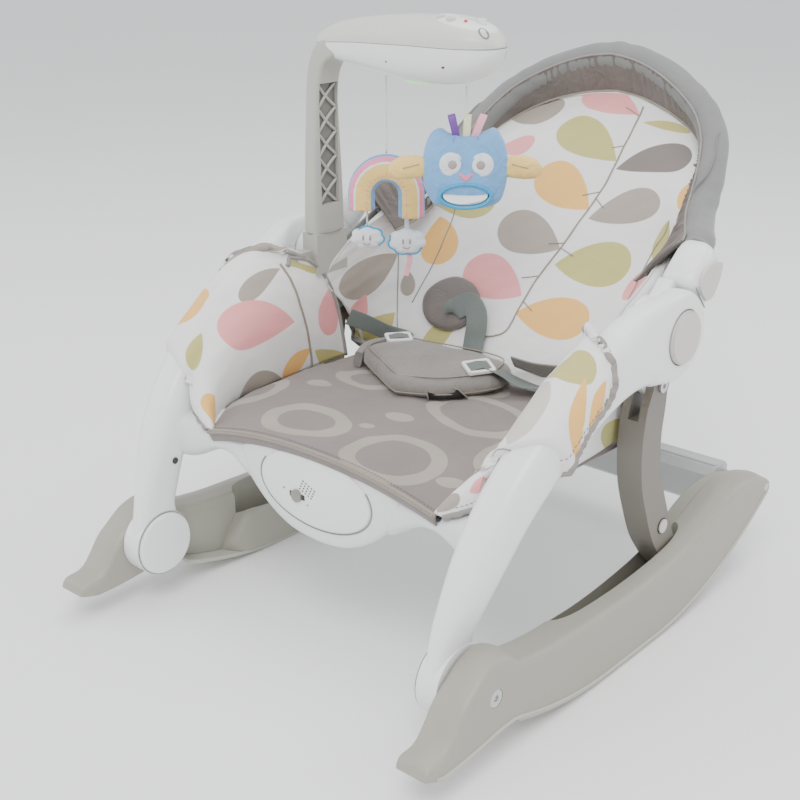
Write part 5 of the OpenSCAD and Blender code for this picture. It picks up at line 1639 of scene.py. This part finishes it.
parts.append(strap("t", hangp(HR, [(23, 0, 335), (24, -0.8, 326), (22, 0.6, 317), (20, 0, 309)]), 5.5, hangp((0, 0), [(1, 0, 0)])[0], m_rpink, t=0.8))
cl = join("cloud_plush", parts)
ride(cl, "rainbow", "cloud_charms")
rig.padded(cl, 0.9)

# owl
OW = cr([[-30, 400], [-39, 416], [-41, 440], [-37, 461], [-27, 473], [-14, 468], [0, 466.5], [14, 468], [27, 473], [37, 461], [41, 440], [39, 416], [30, 400], [0, 395], [-30, 400]], 5)[:-1]
oc = np.array([0, 435.0])
rings_ = []
for y in np.linspace(-1, 1, 21):
    k = 0.30 + 0.70 * max(0.0, 1 - abs(y) ** 2.6) ** 0.55
    yy_ = 15.5 * math.copysign(abs(y) ** 0.9, y) if abs(y) > 1e-6 else 0.0
    ring = []
    for p in OW:
        q = oc + (p - oc) * k
        wr_ = 0.5 * math.sin(p[0] * 0.5) * (1 if p[1] > 455 else 0.3)
        ring.append((q[0], yy_, q[1] + wr_))
    rings_.append(ring)
ow = loft("owl_body", hangp(HO_, rings_), m_tblue)
ow_parts = [ow]
for s in (-1, 1):
    rings_ = []
    for xx, hz, hy, zc in ((36, 7.5, 5.5, 436), (40, 9.5, 7, 436), (48, 11.0, 8, 436), (58, 11.5, 8, 435.5), (66, 10, 7, 434.5), (71, 7, 5, 434), (74, 3, 2, 433.5)):
        rings_.append(superring((s * xx, 0, zc), (0, hy, 0), (0, 0, hz), 2.3, 28))
    ow_parts.append(loft("w", hangp(HO_, rings_), m_tyel))
    P = [(s * 44, -8.0, 440), (s * 52, -8.7, 438), (s * 60, -8.3, 436)]
    ow_parts.append(tube("w", hangp(HO_, P), 0.35, m_pipe, n=6, up=(0, 1, 0)))


def disc(cx, cz, rx, rz, y, mt, dome=1.2, n=40):
    rr_ = []
    for f, d in ((1.0, 0), (0.97, 0.6), (0.85, 0.8), (0.5, 0.95), (0.05, 1.0)):
        rr_.append([(cx + rx * f * math.cos(a), y + 2.2 - (2.2 + dome) * d, cz + rz * f * math.sin(a)) for a in np.linspace(0, 2 * math.pi, n, endpoint=False)])
    return loft("d", hangp(HO_, rr_), mt)


ow_parts += [disc(-13.5, 441, 12.2, 12.2, -14.6, m_twhite, 1.4), disc(14.5, 440.5, 12.2, 12.2, -14.6, m_twhite, 1.4)]
ow_parts += [disc(-13, 441, 4.6, 4.6, -16.0, m_tgrey, 0.9), disc(14, 440.5, 4.6, 4.6, -16.0, m_tgrey, 0.9)]
bk_ = [(-7, 431), (-5, 433), (0, 430.8), (5, 433), (7, 431), (4, 427.5), (0, 424.6), (-4, 427.5)]
bkp = cr(bk_ + [bk_[0]], 4)[:-1]
c_ = bkp.mean(0)
ow_parts.append(loft("b", hangp(HO_, [[(c_[0] + (p[0] - c_[0]) * f, -14.2 - d, c_[1] + (p[1] - c_[1]) * f) for p in bkp] for f, d in ((1, 0), (0.96, 1.6), (0.6, 2.0), (0.05, 2.1))]), m_tpink))
mir = disc(0, 410.5, 24.0, 10.6, -14.0, m_mirror, 0.2)
ride(mir, "owl", "owl_mirror")
rg = tube("r", hangp(HO_, [(24.6 * math.cos(a), -15.4, 410.5 + 11.4 * math.sin(a)) for a in np.linspace(0, 2 * math.pi, 72)]), 1.75, m_cyan, n=10, up=(0, 1, 0), caps=False)
ow_parts.append(rg)
for x0, x1, mt, tw in ((-9, -14, m_purple, -1), (0.5, 1.5, m_cream, 0), (8, 16, m_rpink, 1)):
    P = [(x0, -4, 464), (x0 + (x1 - x0) * 0.4, -6, 473), (x1, -3.5, 484), (x1 + 0.4, 0.5, 485), (x0 + (x1 - x0) * 0.4, 2.5, 474), (x0, 3, 465)]
    ow_parts.append(strap("rb", hangp(HO_, P), 7.0, hangp((0, 0), [(1, 0.0, 0.25 * -tw)])[0], mt, t=0.7))
for s in (-1, 1):
    for k in range(3):
        P = [(s * (11 + 4 * k), -9 - k, 466 - 2 * k), (s * (12.5 + 5 * k), -12.2, 460 - 2 * k), (s * (13 + 5.5 * k), -13.4, 454 - 1 * k)]
        ow_parts.append(tube("f", hangp(HO_, P), [0.5, 0.4, 0.1], m_tdblue, n=6, up=(0, 1, 0)))
owj = join("owl_plush", ow_parts)
ride(owj, "owl", "owl_toy")
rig.padded(owj, 0.95)

# ================= harness =================
hp = cr([(-131, 22), (-124, 4), (-84, -20), (-42, -43), (-28, -43), (4, -25), (24, 0), (38, 34), (26, 70), (0, 78), (-40, 74), (-84, 66), (-120, 56), (-131, 22)], 5)[:-1]
hc = np.array([-44, 20.0])
rings_ = []
for f, z in ((0.90, 205.5), (0.975, 209), (1.0, 214), (0.995, 219), (0.96, 224), (0.88, 228.5), (0.72, 232), (0.5, 234.5), (0.25, 235.5), (0.03, 235.6)):
    ring = []
    for p in hp:
        q = hc + (p - hc) * f
        w = 0.9 * math.sin(0.13 * q[0] + 1.7 * math.sin(0.07 * q[1])) + 0.7 * math.sin(0.16 * q[1] - 0.05 * q[0])
        dz = -6.0 * math.exp(-((q[0] + 20) / 12.0) ** 2 - ((q[1] - 6) / 30.0) ** 2) * (1 if z > 226 else 0)
        tl = -0.06 * (q[1] + 0) * (1 if z > 212 else 0)
        ring.append((q[0], q[1], z + (w if z > 212 else 0) + dz + tl * 0.4))
    rings_.append(ring)
hs = loft("crotch_pad", rings_, m_harn, subd=1)
bake(hs)
ride(hs, "side_frame", "harness")
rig.padded(hs, 0.6)
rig.slot(hs, "harness_fabric")
for k, (f, z) in enumerate(((0.985, 212.0), (0.90, 228.6))):
    P = [tuple(hc + (p - hc) * f) + (z,) for p in hp]
    g = tube("pad_seam_%d" % k, P + [P[0]], 0.8, m_pipe, n=6)
    ride(g, "side_frame")
# left roll of the pad
g = strap("pad_roll", [(-126, -2, 214), (-132, 16, 217), (-133, 34, 217), (-126, 52, 216)], 19, (0.25, 0, 1), m_harn, t=9)
ride(g, "side_frame")
# strap opening at the front right, filled with black: painted shade inside the opening
R = [[(x, y, z) for x, y, z in q] for q in (((-2, -31.5, 207.5), (25, -3.5, 208), (18, -9.5, 217), (2, -22, 221.5), (-6, -30, 219)), ((-3.5, -29.5, 207.5), (23.5, -1.5, 208), (16.5, -7.5, 217), (0.5, -20, 221.5), (-7.5, -28, 219)))]
o = loft("pad_opening", R, m_black)
ride(o, "side_frame")
g = tube("pad_opening_hem", [(-2.5, -32.3, 207.2), (-6.5, -30.8, 219), (1.8, -22.8, 222), (18.4, -10, 217.4), (25.6, -3.8, 208)], 0.9, m_harn, n=8)
ride(g, "side_frame")


def buckle(name, c, ang, tilt, L=27, W=19):
    u = np.array([math.cos(ang), math.sin(ang), 0])
    v = np.array([-math.sin(ang) * math.cos(tilt), math.cos(ang) * math.cos(tilt), math.sin(tilt)])
    c = np.asarray(c, float)
    out = []
    for s in (-1, 1):
        out.append(strap("k", [c + u * -L / 2 + v * s * W / 2, c + v * s * W / 2, c + u * L / 2 + v * s * W / 2], 4.0, v, m_buckw, t=4.0, steps=3))
        out.append(strap("k", [c + v * -W / 2 + u * s * L / 2, c + u * s * L / 2, c + v * W / 2 + u * s * L / 2], 3.6, u, m_buckw, t=4.0, steps=3))
    out.append(strap("k", [c + v * -W / 2, c, c + v * W / 2], 3.4, u, m_buck, t=3.4, steps=3))
    w = np.cross(u, v)
    out.append(strap("k", [c + u * -L * 0.42 + w * 0.4, c + w * 2.6, c + u * L * 0.42 + w * 0.4], W - 5, v, m_web, t=1.4, steps=6))
    o = join(name, out)
    shade_auto(o, 45)
    ride(o, "side_frame")
    return o


buckle("buckle_right", (19, 22, 233), math.radians(62), 0.25)
buckle("buckle_left", (-104, 40, 233), math.radians(52), 0.1, 25, 17)
sr = strap("waist_strap_right", [(19, 30, 233), (36, 38, 226), (58, 48, 216), (86, 66, 214), (112, 74, 226), (140, 66, 240), (160, 48, 250)], 25, [(0.3, -0.9, 0.2), (0.3, -0.9, 0.2), (0.25, -0.9, 0.1), (0.2, -0.8, 0.5), (0.1, -0.5, 0.8), (0, -0.3, 0.9), (0, -0.2, 1)], m_web)
ride(sr, "side_frame")
sr2 = strap("strap_tail_right", [(34, 60, 232), (60, 66, 228), (86, 78, 226), (118, 78, 236)], 25, [(0.2, -0.6, 0.6), (0.1, -0.6, 0.7), (0, -0.5, 0.8), (0, -0.4, 0.9)], m_harn, t=2.4)
ride(sr2, "side_frame")
sl_ = strap("waist_strap_left", [(-104, 46, 232), (-112, 60, 226), (-124, 66, 222), (-142, 62, 226), (-160, 48, 236), (-172, 34, 244)], 20, [(0.8, 0.3, 0.1), (0.7, 0.3, 0.4), (0.3, 0.3, 0.8), (0, -0.2, 0.9), (0, -0.2, 1), (0, -0.2, 1)], m_web)
ride(sl_, "side_frame")


def webbing(o, width):
    # area of both faces and edges, halved, over the width gives the cut length
    ar = sum(p.area for p in o.data.polygons) / 2
    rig.sheet(o, (width, round(ar / width, 3)), "laid", rests_on=["crotch_pad"])


webbing(sr, 0.025)
webbing(sr2, 0.025)
webbing(sl_, 0.020)
# round pad on the lower back with its folded strap
Gb = G_back
RP = (-79.0, 78.0)
rings_ = []
for f, lift in ((0.94, 0.4), (1.0, 3.0), (0.97, 7.0), (0.86, 9.4), (0.6, 10.6), (0.3, 11.0), (0.03, 11.0)):
    rings_.append(onuv(Gb[0], Gb[1], [(RP[0] + 36 * f * math.cos(a), RP[1] + 31 * f * math.sin(a)) for a in np.linspace(0, 2 * math.pi, 48, endpoint=False)], lift, Gb[2]))
o = loft("round_pad", rings_, m_harnd)
ride(o, "side_frame")
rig.padded(o, 0.7)
g = tube("round_pad_seam", onuv(Gb[0], Gb[1], [(RP[0] + 35 * math.cos(a), RP[1] + 30 * math.sin(a)) for a in np.linspace(0, 2 * math.pi, 60)], 5.0, Gb[2]), 0.8, m_harn, n=6)
ride(g, "side_frame")
P = [onuv(Gb[0], Gb[1], [q], l_, Gb[2])[0] for q, l_ in (((-70, 64), 13), ((-60, 72), 15), ((-48, 78), 16), ((-36, 72), 15), ((-30, 58), 12), ((-30, 44), 8), ((-28, 30), 6))]
wd = [(0.75, 0.2, 0.62), (0.6, 0.3, 0.7), (0.4, 0.4, 0.8), (0.6, 0.3, 0.5), (0.9, 0.2, 0.2), (1, 0.1, 0), (1, 0, 0)]
o = strap("crotch_strap", P, 25, wd, m_web, t=1.8)
ride(o, "side_frame")
webbing(o, 0.025)


# ================= stage, light, camera =================
def area_light(name, loc, target, size, power, col=(1, 1, 1)):
    li = bpy.data.lights.new(name, "AREA")
    li.shape = "DISK"
    li.size = size
    li.energy = power
    li.color = col
    o = bpy.data.objects.new(name, li)
    bpy.context.scene.collection.objects.link(o)
    o.location = loc
    d = Vector(target) - Vector(loc)
    o.rotation_euler = d.to_track_quat("-Z", "Y").to_euler()
    return o


sc = bpy.context.scene
fl = bpy.data.meshes.new("floor")
fl.from_pydata([(-40, -40, -0.0006), (40, -40, -0.0006), (40, 40, -0.0006), (-40, 40, -0.0006)], [], [(0, 1, 2, 3)])
fl.materials.append(m_floor)
floor = link("floor", fl)
L = [
    area_light("key", (0.9, -1.5, 2.4), (0.0, 0.0, 0.25), 1.5, 46, (1.0, 0.985, 0.96)),
    area_light("fill", (-2.2, -1.4, 1.3), (0.0, 0.0, 0.3), 2.2, 18, (0.95, 0.975, 1.0)),
    area_light("top", (0.0, 0.5, 2.6), (0.0, 0.0, 0.2), 2.4, 30, (1, 1, 1)),
    area_light("rim", (1.4, 1.8, 1.2), (0.0, 0.1, 0.35), 1.4, 14, (1, 1, 1)),
]
w = bpy.data.worlds.new("world")
sc.world = w
w.use_nodes = True
bgn = w.node_tree.nodes.get("Background")
bgn.inputs[0].default_value = (0.97, 0.98, 1.0, 1)
bgn.inputs[1].default_value = 1.05
cam = bpy.data.cameras.new("camera")
cam.lens = 58.5
cam.sensor_width = 36
cam.sensor_fit = "HORIZONTAL"
camo = bpy.data.objects.new("camera", cam)
sc.collection.objects.link(camo)
camo.location = (0.771, -0.96113, 0.681)
a_, e_ = math.radians(40.82), math.radians(21.28)
fw = Vector((-math.sin(a_) * math.cos(e_), math.cos(a_) * math.cos(e_), -math.sin(e_)))
camo.rotation_euler = fw.to_track_quat("-Z", "Y").to_euler()
sc.camera = camo
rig.stage(floor, *L)

bpy.context.view_layer.update()
lo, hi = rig.bounds()
with open("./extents.json", "w") as fh:
    json.dump({"cad": [[round(float(v), 5) for v in cad_lo], [round(float(v), 5) for v in cad_hi]], "visual": [[round(float(v), 5) for v in lo], [round(float(v), 5) for v in hi]]}, fh)
